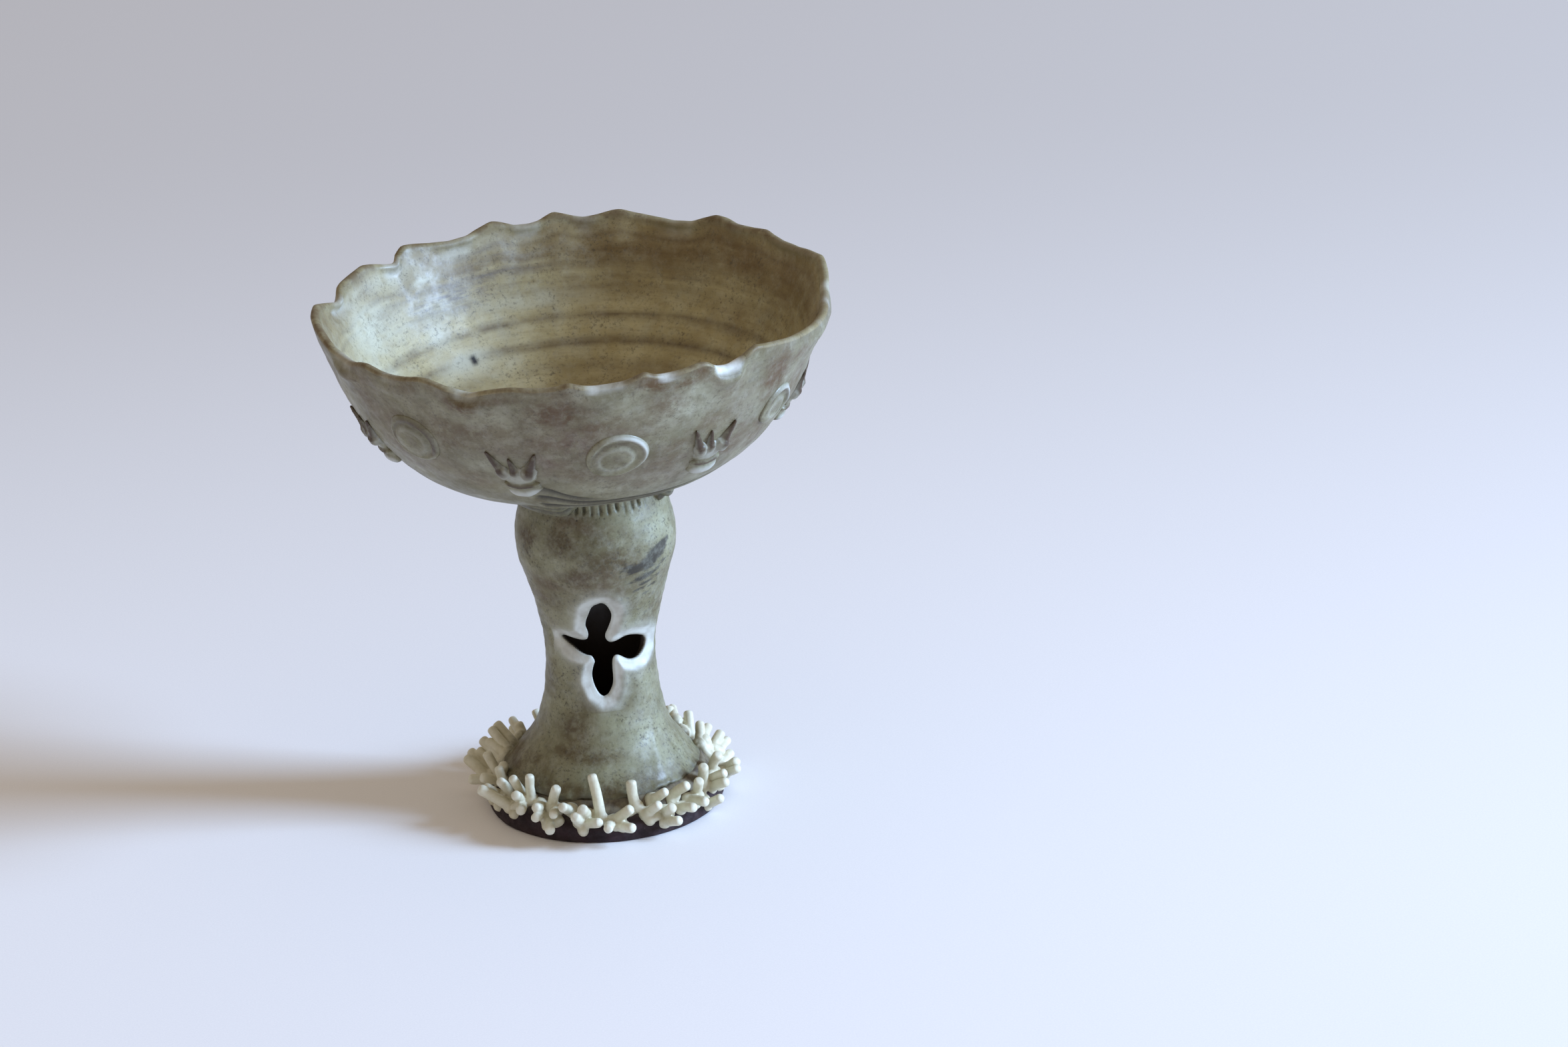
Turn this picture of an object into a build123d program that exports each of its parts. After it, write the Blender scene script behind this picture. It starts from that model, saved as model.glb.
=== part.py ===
from build123d import *
import math
import os

# Communion chalice: thrown stoneware bowl on a thrown, cross-pierced hollow stem, with a dark
# foot ringed by porcelain coral. Millimetres, +Z up, foot on the table at z = 0, cross facing -Y.
# Azimuths are in degrees from -Y towards +X.

# ---- foot ----
FOOT_R = 37.35          # radius where it meets the table
FOOT_BEVEL = 0.9        # bevel round the bottom edge
FOOT_WALL = 4.6         # height of the upright wall
SHOULDER_IN = 1.3       # step inward at the top of the wall
SHOULDER_UP = 1.6       # rise of that step
FOOT_TOP_Z = 12.0       # where the glazed stem skirt begins
FOOT_TOP_R = 31.0       # radius at that height
TOP_EDGE_OUT = 1.2      # bevel at the top edge: width
TOP_EDGE_DOWN = 0.9     # and drop
WELL_R = 26.5           # radius of the well at its mouth
WELL_SLOPE = 2.0        # how much smaller its floor is in radius
WELL_Z = 6.0            # level of its floor

# ---- stem: (radius, height), outside going up, then inside going down ----
STEM_TOP_Z = 105.6
STEM_OUT = [
    (FOOT_TOP_R, FOOT_TOP_Z), (29.6, 14.0), (26.9, 18.0), (23.7, 22.0), (21.5, 26.0),
    (20.1, 30.0), (18.8, 35.0), (18.0, 40.0), (17.55, 46.0), (17.45, 52.0), (18.05, 60.0),
    (19.05, 65.0), (20.3, 70.0), (21.7, 75.0), (23.25, 80.0), (24.6, 85.0), (25.2, 90.0),
    (24.7, 95.0), (23.5, 100.0), (22.3, 104.0), (21.8, STEM_TOP_Z),
]
STEM_IN = [
    (17.6, STEM_TOP_Z), (18.6, 102.0), (20.2, 98.0), (21.2, 92.0), (21.0, 87.0), (19.6, 81.0),
    (17.8, 75.0), (16.2, 69.0), (14.5, 62.0), (13.6, 54.0), (13.6, 46.0), (14.4, 38.0),
    (16.2, 30.0), (19.2, 24.0), (23.2, 18.5), (27.0, FOOT_TOP_Z),
]

# ---- cross piercing: outline as (azimuth, height) on a wall of radius CROSS_WALL_R ----
CROSS_WALL_R = 18.1
CROSS_CUT_START = 7.0   # the cut starts this far in front of the stem axis
CROSS_CUT_LENGTH = 25.0
CROSS = [
    (-5.5, 74.6), (1.8, 74.5), (5.3, 73.0), (8.5, 70.3), (6.9, 66.9), (3.0, 64.2), (1.9, 62.6),
    (4.2, 60.9), (8.0, 60.0), (14.7, 60.3), (23.6, 61.1), (36.0, 60.8), (44.0, 59.7),
    (57.0, 56.8), (52.0, 53.7), (42.5, 52.4), (29.9, 52.9), (21.1, 54.2), (15.9, 55.0),
    (11.8, 54.6), (9.9, 53.2), (10.1, 47.6), (8.8, 45.1), (3.6, 42.5), (-2.2, 41.8),
    (-6.8, 42.8), (-11.3, 45.0), (-14.6, 48.2), (-12.6, 52.2), (-11.2, 53.7), (-15.2, 55.3),
    (-22.0, 55.9), (-29.0, 56.7), (-36.0, 58.4), (-46.5, 60.8), (-40.1, 61.8), (-24.7, 61.3),
    (-18.8, 61.6), (-17.2, 63.6), (-19.0, 66.3), (-17.7, 68.4), (-14.4, 70.9), (-11.3, 73.2),
]

# ---- bowl: (radius, height), outside going up, then inside going down ----
UNDERSIDE_Z = 113.0
FLOOR_Z = 117.3         # inside floor on the axis
LIP_R = 79.4
RIM_Z = 169.6           # height of the lobes on the rim
BOWL_OUT = [
    (20.0, UNDERSIDE_Z), (30.0, 113.9), (40.0, 115.5), (50.0, 119.0), (60.0, 127.4),
    (70.0, 141.0), (77.0, 156.8), (LIP_R, 163.0),
]
RIM = [BOWL_OUT[-1], (80.1, RIM_Z - 0.8), (LIP_R, RIM_Z), (78.6, RIM_Z - 0.2), (77.4, 163.4)]
BOWL_IN = [
    RIM[-1], (73.4, 157.0), (66.4, 143.0), (56.4, 130.4), (46.8, 122.6), (35.0, 119.0),
    (20.0, 117.6),
]
OUT_TANGENTS = [(1, 0.04), (0.26, 1)]   # directions at the two ends of BOWL_OUT
LEAN = -1.34            # sideways lean, degrees
LEAN_AZ = -4.7          # azimuth of the horizontal line it leans about
LEAN_Z = 110.0          # height of that line

# concentric grooves under the bowl
GROOVE_RADII = (27.0, 29.4, 31.8)
GROOVE_Z = 113.45       # centre height of the innermost groove
GROOVE_RISE = 0.1       # rise of the centre per mm of radius
GROOVE_SECTION_R = 0.75

# hollows pressed into the rim: (azimuth, height of the lowest point)
SCALLOP_R = 13.5
SCALLOP_START = 68.0    # distance from the axis where each hollow's cut starts
SCALLOP_LENGTH = 16.0
SCALLOPS = [
    (-111.8, 163.8), (-84.0, 168.2), (-65.0, 166.5), (-47.0, 167.4), (-26.5, 165.2),
    (-10.0, 167.3), (2.0, 167.0), (17.5, 167.3), (32.3, 164.8), (52.0, 166.0), (68.0, 163.3),
    (85.0, 165.2), (108.0, 167.6), (131.0, 167.6), (151.5, 166.5), (173.5, 167.4),
    (-172.0, 167.1), (-153.6, 166.4), (-136.9, 165.4),
]

# ---- luting collar: (radius, height) of its section ----
COLLAR_TOP_Z = 114.2    # runs up into the bowl's underside
COLLAR = [
    (16.6, STEM_TOP_Z), (22.4, STEM_TOP_Z), (22.7, 107.0), (21.4, 108.6), (20.6, 110.4),
    (21.2, COLLAR_TOP_Z), (15.6, COLLAR_TOP_Z),
]

# ---- sprigs: (azimuth, height) of each middle, the two kinds alternating round the bowl ----
ROUNDELS = [(5.8, 140.8), (54.6, 141.8), (107.0, 142.6), (158.4, 141.6), (-150.2, 142.2),
            (-98.6, 143.4), (-46.9, 145.3)]
PRONGS = [(31.7, 136.0), (78.6, 135.6), (132.7, 135.8), (-175.9, 136.0), (-124.4, 136.4),
          (-73.0, 137.0), (-20.3, 136.0)]
SPRIG_SINK = 2.4        # how far a sprig starts behind the wall, before the bowl is cut away
ROUNDEL_R = 9.4
ROUNDEL_T = 1.9         # how far a roundel stands off the wall
ROUNDEL_TAPER = 3       # degrees
ROUNDEL_EDGE = 2.2      # width of the raised edge
RING_INNER_R = 3.2      # inner radius of the ring groove
RING_DEPTH = 0.9
BOSS_R = 2.6
BOSS_HEIGHT = 0.6
BOSS_TAPER = 25         # degrees

PRONG_T = 1.9           # how far a pronged sprig stands off the wall
# +x half of palm and prongs as (x round the bowl, y up the wall), from the palm's base upwards
PRONG_HALF = [(3.6, -5.6), (5.4, -1.5), (7.9, 9.6), (6.4, 10.2), (2.9, 2.6), (1.3, 8.6)]
BAR_Y = -6.6
BAR_LENGTH = 9.6
BAR_WIDTH = 2.6
KNOB_Y = -9.8
KNOB_R = 3.2

# ---- coral: one list of rods per cluster; each rod is (root point, tip point) ----
ROD_R = 1.65
ROD_SINK = 1.2          # how far a rod reaches back behind its root point
BLOB_R = 2.5            # radius of the slip at the foot of a rod
BRIDGE_R = BLOB_R - 0.4     # radius of the slip between neighbouring roots
CLUSTER_REACH = 34      # clusters whose middles are closer than this may touch
CORAL = [
    [((-1.3, 31.5, 9.5), (1.6, 40.5, 11.5)), ((-4.5, 34.2, 6.0), (-4.5, 39.0, 14.3)),
     ((-7.2, 32.2, 8.0), (-4.8, 40.6, 10.0))],
    [((-9.6, 30.0, 9.5), (-11.2, 37.0, 15.2)), ((-13.4, 31.8, 6.0), (-14.4, 34.6, 14.6)),
     ((-15.4, 29.2, 8.0), (-21.2, 35.9, 9.8))],
    [((-17.2, 26.4, 9.5), (-20.1, 30.7, 18.2)), ((-21.3, 27.1, 6.0), (-25.3, 36.0, 9.7)),
     ((-22.6, 24.1, 8.0), (-27.8, 30.8, 13.2))],
    [((-23.5, 20.9, 9.5), (-26.1, 23.4, 17.4)), ((-25.2, 19.5, 14.0), (-27.9, 27.5, 17.2)),
     ((-27.6, 14.0, 13.0), (-33.3, 19.6, 19.4))],
    [((-29.7, 11.2, 13.0), (-35.2, 16.6, 19.2)), ((-35.0, 13.1, 5.5), (-42.2, 18.6, 11.2)),
     ((-34.0, 12.8, 6.6), (-39.6, 17.7, 11.6))],
    [((-32.1, 12.1, 10.0), (-38.2, 17.1, 15.5)), ((-30.5, 9.2, 12.5), (-36.2, 15.7, 15.2)),
     ((-36.6, 8.9, 5.0), (-43.8, 14.3, 10.8))],
    [((-34.2, 4.8, 6.0), (-43.5, 3.3, 7.7)), ((-32.9, 2.0, 8.0), (-37.3, 3.2, 16.7)),
     ((-33.6, -1.7, 8.7), (-32.2, -6.3, 16.3))],
    [((-31.1, -4.7, 9.5), (-39.8, -6.8, 12.6)), ((-33.5, -8.3, 6.0), (-38.8, -13.2, 12.1)),
     ((-31.2, -10.7, 8.0), (-34.2, -10.3, 17.4))],
    [((-30.7, -13.8, 8.7), (-34.2, -18.0, 15.8)), ((-31.1, -17.4, 6.1), (-40.9, -17.1, 13.4)),
     ((-26.7, -18.4, 10.4), (-30.4, -21.2, 18.1))],
    [((-27.1, -19.4, 9.1), (-29.9, -26.3, 14.2)), ((-26.9, -20.2, 8.8), (-28.7, -29.0, 9.7)),
     ((-24.6, -21.4, 10.1), (-24.8, -22.4, 19.1))],
    [((-21.9, -24.7, 9.6), (-24.0, -33.0, 12.2)), ((-21.9, -27.1, 7.2), (-24.6, -35.3, 9.7)),
     ((-19.8, -29.2, 6.5), (-20.1, -38.2, 6.0))],
    [((-18.6, -27.4, 9.5), (-16.8, -30.5, 17.7)), ((-17.1, -28.6, 9.2), (-18.8, -37.3, 11.1)),
     ((-13.0, -30.4, 9.6), (-15.9, -37.7, 13.9))],
    [((-10.2, -33.9, 6.4), (-12.2, -40.8, 11.8)), ((-8.9, -34.2, 6.4), (-4.6, -41.6, 9.3)),
     ((-8.1, -32.9, 8.5), (-9.8, -40.0, 13.8)), ((-3.8, -34.4, 7.4), (-5.8, -31.8, 21.7))],
    [((-0.6, -35.7, 6.0), (-2.3, -44.3, 7.9)), ((0.2, -35.2, 6.7), (5.7, -39.5, 12.4)),
     ((0.8, -36.0, 5.6), (5.7, -43.3, 7.1))],
    [((7.4, -32.2, 9.6), (6.3, -31.9, 18.5)), ((10.3, -33.4, 7.0), (14.4, -39.0, 12.7)),
     ((12.8, -29.7, 10.5), (17.0, -35.8, 15.6))],
    [((16.0, -32.9, 3.8), (20.6, -40.0, 7.0)), ((16.9, -31.5, 6.0), (18.5, -38.6, 11.1)),
     ((19.4, -26.7, 9.6), (24.2, -31.7, 15.2))],
    [((21.3, -28.7, 5.9), (25.5, -36.0, 9.1)), ((24.3, -24.9, 7.2), (29.7, -31.9, 8.8)),
     ((27.1, -22.2, 6.9), (28.0, -26.9, 14.5))],
    [((30.2, -20.7, 3.0), (34.8, -26.9, 7.7)), ((29.5, -16.1, 8.9), (29.9, -20.9, 16.4)),
     ((32.2, -15.2, 6.1), (37.2, -21.3, 10.5))],
    [((31.8, -13.2, 7.7), (37.0, -18.7, 12.5)), ((33.2, -6.7, 8.4), (35.6, -11.3, 15.8)),
     ((38.3, -0.9, 4.7), (41.8, -8.0, 8.9))],
    [((37.8, 1.0, 5.0), (41.7, -5.2, 10.2)), ((30.5, 4.4, 12.7), (31.7, 12.2, 17.1)),
     ((37.6, 5.9, 5.0), (41.3, 14.1, 4.7))],
    [((32.1, 6.7, 13.0), (34.6, 15.3, 14.1)), ((36.8, 10.1, 7.2), (40.8, 18.1, 7.6)),
     ((34.1, 9.4, 7.3), (38.8, 15.7, 11.7))],
    [((29.2, 17.4, 8.2), (28.8, 23.6, 16.4)), ((26.1, 17.5, 11.7), (25.2, 26.4, 11.9)),
     ((24.6, 21.7, 14.0), (24.1, 30.6, 15.2))],
    [((21.7, 22.9, 9.5), (23.4, 28.2, 16.6)), ((21.4, 27.0, 6.0), (26.8, 34.3, 8.1)),
     ((18.1, 27.6, 8.0), (22.2, 33.8, 12.4))],
    [((14.9, 27.8, 9.5), (17.5, 29.5, 17.7)), ((13.5, 31.7, 6.0), (13.9, 40.5, 7.1)),
     ((10.2, 31.4, 8.0), (11.2, 37.3, 16.4))],
    [((7.0, 30.7, 9.5), (10.3, 39.9, 12.9)), ((4.7, 34.2, 6.0), (2.6, 41.8, 10.6)),
     ((1.6, 33.0, 8.0), (3.3, 36.3, 16.4))],
]


def outward(azimuth):
    """Horizontal unit vector away from the axis."""
    angle = math.radians(azimuth)
    return Vector(math.sin(angle), -math.cos(angle), 0)


def upright_plane(azimuth, radius, z, normal):
    """Plane through a point given by azimuth, radius and height, with x running round the bowl."""
    out = outward(azimuth)
    return Plane(origin=out * radius + Vector(0, 0, z), x_dir=Vector(-out.Y, out.X, 0),
                 z_dir=normal)


def wall_plane(azimuth, z):
    """Plane on the bowl's outer wall: x round the bowl, y up the wall, z pointing out."""
    for (r0, z0), (r1, z1) in zip(BOWL_OUT, BOWL_OUT[1:]):
        if z0 <= z <= z1:
            radius = r0 + (r1 - r0) * (z - z0) / (z1 - z0)
            normal = outward(azimuth) * (z1 - z0) + Vector(0, 0, r0 - r1)
            return upright_plane(azimuth, radius, z, normal.normalized())
    raise ValueError(z)


def lean(part):
    """Tilt a piece with the bowl."""
    return part.rotate(Axis((0, 0, LEAN_Z), -outward(LEAN_AZ)), LEAN)


def save(part, name):
    part.label = name
    export_step(part, f"parts/{name}.step")


def make_foot():
    """Slab with an upright wall, a sloping shoulder and a shallow well in its top."""
    with BuildPart() as foot:
        with BuildSketch(Plane.XZ):
            with BuildLine():
                Polyline(
                    (0, 0),
                    (FOOT_R - FOOT_BEVEL, 0),
                    (FOOT_R, FOOT_BEVEL),
                    (FOOT_R, FOOT_WALL),
                    (FOOT_R - SHOULDER_IN, FOOT_WALL + SHOULDER_UP),
                    (FOOT_TOP_R + TOP_EDGE_OUT, FOOT_TOP_Z - TOP_EDGE_DOWN),
                    (FOOT_TOP_R, FOOT_TOP_Z),
                    (WELL_R, FOOT_TOP_Z),
                    (WELL_R - WELL_SLOPE, WELL_Z),
                    (0, WELL_Z),
                    close=True,
                )
            make_face()
        revolve(axis=Axis.Z)
    return foot.part


def make_stem():
    """Hollow baluster, flared at the foot and swelling to a knop, pierced by the cross."""
    with BuildPart() as stem:
        with BuildSketch(Plane.XZ):
            with BuildLine():
                Spline(*STEM_OUT)
                Line(STEM_OUT[-1], STEM_IN[0])
                Spline(*STEM_IN)
                Line(STEM_IN[-1], STEM_OUT[0])
            make_face()
        revolve(axis=Axis.Z)
        cross = [(CROSS_WALL_R * math.sin(math.radians(azimuth)), z) for azimuth, z in CROSS]
        with BuildSketch(Plane.XZ.offset(CROSS_CUT_START)):
            with BuildLine():
                Polyline(*cross, close=True)
            make_face()
        extrude(amount=CROSS_CUT_LENGTH, mode=Mode.SUBTRACT)
    return stem.part


def make_bowl():
    """Wide bowl, still upright, with grooves under it and a scalloped rim."""
    with BuildPart() as bowl:
        with BuildSketch(Plane.XZ):
            with BuildLine():
                Line((0, UNDERSIDE_Z), BOWL_OUT[0])
                Spline(*BOWL_OUT, tangents=OUT_TANGENTS)
                Polyline(*RIM)
                Spline(*BOWL_IN)
                Polyline(BOWL_IN[-1], (0, FLOOR_Z), (0, UNDERSIDE_Z))
            make_face()
        revolve(axis=Axis.Z)
        for radius in GROOVE_RADII:
            with BuildSketch(Plane.XZ):
                with Locations((radius, GROOVE_Z + GROOVE_RISE * (radius - GROOVE_RADII[0]))):
                    Circle(GROOVE_SECTION_R)
            revolve(axis=Axis.Z, mode=Mode.SUBTRACT)
        for azimuth, dip in SCALLOPS:
            with BuildSketch(upright_plane(azimuth, SCALLOP_START, dip + SCALLOP_R,
                                           outward(azimuth))):
                Circle(SCALLOP_R)
            extrude(amount=SCALLOP_LENGTH, mode=Mode.SUBTRACT)
    return bowl.part


def make_collar(bowl):
    """Coil of clay that joins the stem to the bowl."""
    with BuildPart() as collar:
        with BuildSketch(Plane.XZ):
            with BuildLine():
                Polyline(*COLLAR, close=True)
            make_face()
        revolve(axis=Axis.Z)
        add(bowl, mode=Mode.SUBTRACT)
    return collar.part


def make_roundel(wall, bowl):
    """Disc with a raised edge, a ring groove and a centre boss."""
    with BuildPart() as roundel:
        with BuildSketch(wall.offset(-SPRIG_SINK)):
            Circle(ROUNDEL_R)
        extrude(amount=SPRIG_SINK + ROUNDEL_T, taper=ROUNDEL_TAPER)
        with BuildSketch(wall.offset(ROUNDEL_T)):
            Circle(ROUNDEL_R - ROUNDEL_EDGE)
            Circle(RING_INNER_R, mode=Mode.SUBTRACT)
        extrude(amount=-RING_DEPTH, mode=Mode.SUBTRACT)
        with BuildSketch(wall.offset(ROUNDEL_T)):
            Circle(BOSS_R)
        extrude(amount=BOSS_HEIGHT, taper=BOSS_TAPER)
        add(bowl, mode=Mode.SUBTRACT)
    return roundel.part


def make_prong_sprig(wall, bowl):
    """Three fanned prongs over a palm, with a cross bar and a knob below."""
    with BuildPart() as sprig:
        with BuildSketch(wall.offset(-SPRIG_SINK)):
            with BuildLine():
                Polyline(*PRONG_HALF, *[(-x, y) for x, y in reversed(PRONG_HALF)], close=True)
            make_face()
            with Locations((0, BAR_Y)):
                SlotOverall(BAR_LENGTH, BAR_WIDTH)
            with Locations((0, KNOB_Y)):
                Circle(KNOB_R)
        extrude(amount=SPRIG_SINK + PRONG_T)
        add(bowl, mode=Mode.SUBTRACT)
    return sprig.part


def make_coral(rods, neighbours):
    """Cluster of rods set in slip, cut back to clear the pieces it touches."""
    with BuildPart() as coral:
        for rod in rods:
            root, tip = Vector(*rod[0]), Vector(*rod[1])
            along = (tip - root).normalized()
            with BuildSketch(Plane(origin=root - along * ROD_SINK, z_dir=along)):
                Circle(ROD_R)
            extrude(amount=(tip - root).length + ROD_SINK)
            with Locations(root):
                Sphere(BLOB_R)
        for (start, _), (end, _) in zip(rods, rods[1:]):
            span = Vector(*end) - Vector(*start)
            with BuildSketch(Plane(origin=Vector(*start), z_dir=span.normalized())):
                Circle(BRIDGE_R)
            extrude(amount=span.length)
        for neighbour in neighbours:
            add(neighbour, mode=Mode.SUBTRACT)
    return coral.part


os.makedirs("parts", exist_ok=True)

foot_slab = make_foot()
save(foot_slab, "foot_slab")
stem_part = make_stem()
save(stem_part, "stem")
upright_bowl = make_bowl()
leaning_bowl = lean(upright_bowl)
save(leaning_bowl, "bowl")
save(make_collar(leaning_bowl), "luting_collar")

# sprigs are fitted to the upright bowl, then leaned with it
for name, make_sprig, places in (("roundel", make_roundel, ROUNDELS),
                                 ("prong_sprig", make_prong_sprig, PRONGS)):
    for n, place in enumerate(places, start=1):
        save(lean(make_sprig(wall_plane(*place), upright_bowl)), f"{name}_{n}")

# each cluster gives way to the foot, the stem and the nearby clusters made before it
clusters = []
for n, rods in enumerate(CORAL, start=1):
    middle = Vector(*rods[len(rods) // 2][0])
    nearby = [part for part, centre in clusters if (middle - centre).length < CLUSTER_REACH]
    cluster = make_coral(rods, [foot_slab, stem_part, *nearby])
    clusters.append((cluster, middle))
    save(cluster, f"coral_{n:02d}")
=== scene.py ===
# A stoneware bowl with applied sprigs, on a hollow stem pierced by a cross and a bare foot slab
# ringed with porcelain coral. It stands on z = 0 round the z axis and its front faces -Y.
# Azimuths are degrees from the front, positive towards +X. Lengths are mm unless noted.
import math
from itertools import product

import bpy
import numpy as np
from mathutils import Matrix, Vector


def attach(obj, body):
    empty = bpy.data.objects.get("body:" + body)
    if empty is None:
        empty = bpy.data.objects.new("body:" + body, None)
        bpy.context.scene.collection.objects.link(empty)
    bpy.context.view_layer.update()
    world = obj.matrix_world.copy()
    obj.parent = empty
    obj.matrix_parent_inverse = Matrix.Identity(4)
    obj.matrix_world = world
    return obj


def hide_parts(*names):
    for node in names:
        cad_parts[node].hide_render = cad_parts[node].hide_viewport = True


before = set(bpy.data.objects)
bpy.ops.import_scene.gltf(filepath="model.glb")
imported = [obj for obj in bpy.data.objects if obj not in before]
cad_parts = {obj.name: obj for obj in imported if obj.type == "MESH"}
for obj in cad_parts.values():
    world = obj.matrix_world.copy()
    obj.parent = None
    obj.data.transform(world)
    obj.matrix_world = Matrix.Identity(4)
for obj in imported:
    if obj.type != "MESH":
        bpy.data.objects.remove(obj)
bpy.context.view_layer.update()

MM = 0.001                          # metres in a millimetre
VIEW_TURN = math.radians(-4.7)      # turn of the viewpoint about z


# ---------------------------------------------------------------- shared helpers
def table(columns, text):
    """Rows of numbers from plain text."""
    return np.array(text.split(), float).reshape(-1, columns)


def smooth(start, end, value):
    share = np.clip((np.asarray(value, float) - start) / (end - start), 0, 1)
    return share * share * (3 - 2 * share)


def bump(value, centre, width, falloff=1.0):
    """Bell curve: 1 at the centre."""
    return np.exp(-falloff * ((value - centre) / width) ** 2)


def lattice(x, y, z, seed):
    """Hash of whole-number places to [-1, 1]."""
    code = (x * 374761393 + y * 668265263 + z * 2147483647 + seed * 1274126177) & 0xFFFFFFFF
    code = ((code ^ (code >> 13)) * 1274126177) & 0xFFFFFFFF
    code = code ^ (code >> 16)
    return (code & 0xFFFF) / 32767.5 - 1.0


def noise(x, y, z, seed):
    """Smooth value noise in [-1, 1] over arrays."""
    places = np.broadcast_arrays(*(np.asarray(value, float) for value in (x, y, z)))
    cells = [np.floor(value).astype(np.int64) for value in places]
    rests = [value - cell for value, cell in zip(places, cells)]
    eased = [rest * rest * rest * (rest * (rest * 6 - 15) + 10) for rest in rests]
    total = 0
    for corner in product((0, 1), repeat=3):
        weight = math.prod(ease if far else 1 - ease for ease, far in zip(eased, corner))
        total = total + weight * lattice(*(c + far for c, far in zip(cells, corner)), seed)
    return total


def fractal(x, y, z, size, seed, octaves=2):
    total, strength, scale = 0, 1.0, 1.0 / size
    for k in range(octaves):
        total = total + strength * noise(x * scale, y * scale, z * scale, seed + 17 * k)
        strength, scale = strength * 0.5, scale * 2.03
    return total


def arc_lengths(points):
    return np.r_[0, np.cumsum(np.linalg.norm(np.diff(points, axis=0), axis=1))]


def curve(points, samples):
    """A smooth curve through 2-D points, at a count of even steps or at given length shares."""
    chain = np.vstack([2 * points[0] - points[1], points, 2 * points[-1] - points[-2]])
    t = np.linspace(0, 1, 40, endpoint=False)[:, None]
    spans = []
    for before, start, end, after in zip(chain, chain[1:], chain[2:], chain[3:]):
        lead, span, trail = (np.linalg.norm(v) for v in (start - before, end - start, after - end))
        leave = (end - before) / (lead + span) * span
        arrive = (after - start) / (span + trail) * span
        spans.append((2 * t**3 - 3 * t**2 + 1) * start + (t**3 - 2 * t**2 + t) * leave
                     + (-2 * t**3 + 3 * t**2) * end + (t**3 - t**2) * arrive)
    dense = np.vstack([*spans, points[-1:]])
    arc = arc_lengths(dense)
    stations = np.linspace(0, arc[-1], samples) if np.isscalar(samples) else samples * arc[-1]
    return np.stack([np.interp(stations, arc, dense[:, k]) for k in (0, 1)], 1)


def plan(radius, angle):
    """x and y at a radius and an azimuth."""
    turn = np.radians(angle)
    return radius * np.sin(turn), -radius * np.cos(turn)


def polar(radius, angle, z):
    return np.stack([*plan(radius, angle), z], -1)


def spin(count, *columns):
    """Grids (azimuth, row) of the azimuth and of each profile column."""
    angle = np.arange(count) * 360.0 / count - 180
    return np.repeat(angle[:, None], len(columns[0]), 1), *(
        np.tile(column, (count, 1)) for column in columns)


def lathe_faces(columns, rows):
    """Quads round a turned skin, with fans to the two axis points listed after it."""
    first_pole = columns * rows
    faces = []
    for near in range(0, first_pole, rows):
        far = (near + rows) % first_pole
        faces.extend((near + j, far + j, far + j + 1, near + j + 1) for j in range(rows - 1))
        faces.append((near, first_pole, far))
        faces.append((near + rows - 1, far + rows - 1, first_pole + 1))
    return faces


def flat(grid, *ends):
    """Attribute values of a grid, then those of the vertices after it."""
    return np.r_[(grid.ravel(), *ends)]


def around(angle, centre, radius):
    """Arc distance from an azimuth, the short way round."""
    return ((angle - centre + 180) % 360 - 180) * np.radians(radius)


def spots(rows, angle, z, radius, grains=()):
    """Strongest of soft painted spots: azimuth, height, size round, size up, strength.

    Each grain roughens their edges: depth, degrees, mm.
    """
    paint = np.zeros_like(angle)
    for centre, level, wide, tall, strength in rows:
        seeds = int(abs(centre) * 3 + level), int(level)
        rough = 1
        for (depth, degrees, rise), seed in zip(grains, seeds):
            rough = rough + depth * noise(angle / degrees, z / rise, 0, seed)
        reach = (around(angle, centre, radius) / wide) ** 2 + ((z - level) / tall) ** 2
        paint = np.maximum(paint, strength * np.exp(-reach * rough))
    return paint


def make_mesh(name, verts, faces, **attributes):
    mesh = bpy.data.meshes.new(name)
    mesh.from_pydata((np.asarray(verts) * MM).tolist(), [], faces)
    mesh.validate()
    mesh.update()
    mesh.polygons.foreach_set("use_smooth", [True] * len(mesh.polygons))
    for key, values in attributes.items():
        layer = mesh.attributes.new(key, "FLOAT", "POINT")
        layer.data.foreach_set("value", np.asarray(values, np.float32).ravel())
    ob = bpy.data.objects.new(name, mesh)
    bpy.context.scene.collection.objects.link(ob)
    return ob


def add_piece(name, node, slot, material, verts, faces, **attributes):
    """A mesh that stands in for one CAD node."""
    ob = make_mesh(name, verts, faces, **attributes)
    ob.data.materials.append(material)
    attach(ob, "root")
    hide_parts(node)


# The bowl leans to the viewer's side, about a line through (0, 0, LEAN_Z).
LEAN_Z = 110.0
LEAN_AXIS = Vector((-math.sin(VIEW_TURN), math.cos(VIEW_TURN), 0))
LEAN = np.array(Matrix.Rotation(math.radians(-1.34), 3, LEAN_AXIS))
VIEW_RIGHT = np.array([math.cos(VIEW_TURN), math.sin(VIEW_TURN), 0.0])


def lean(points):
    return (points - [0, 0, LEAN_Z]) @ LEAN.T + [0, 0, LEAN_Z]


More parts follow.
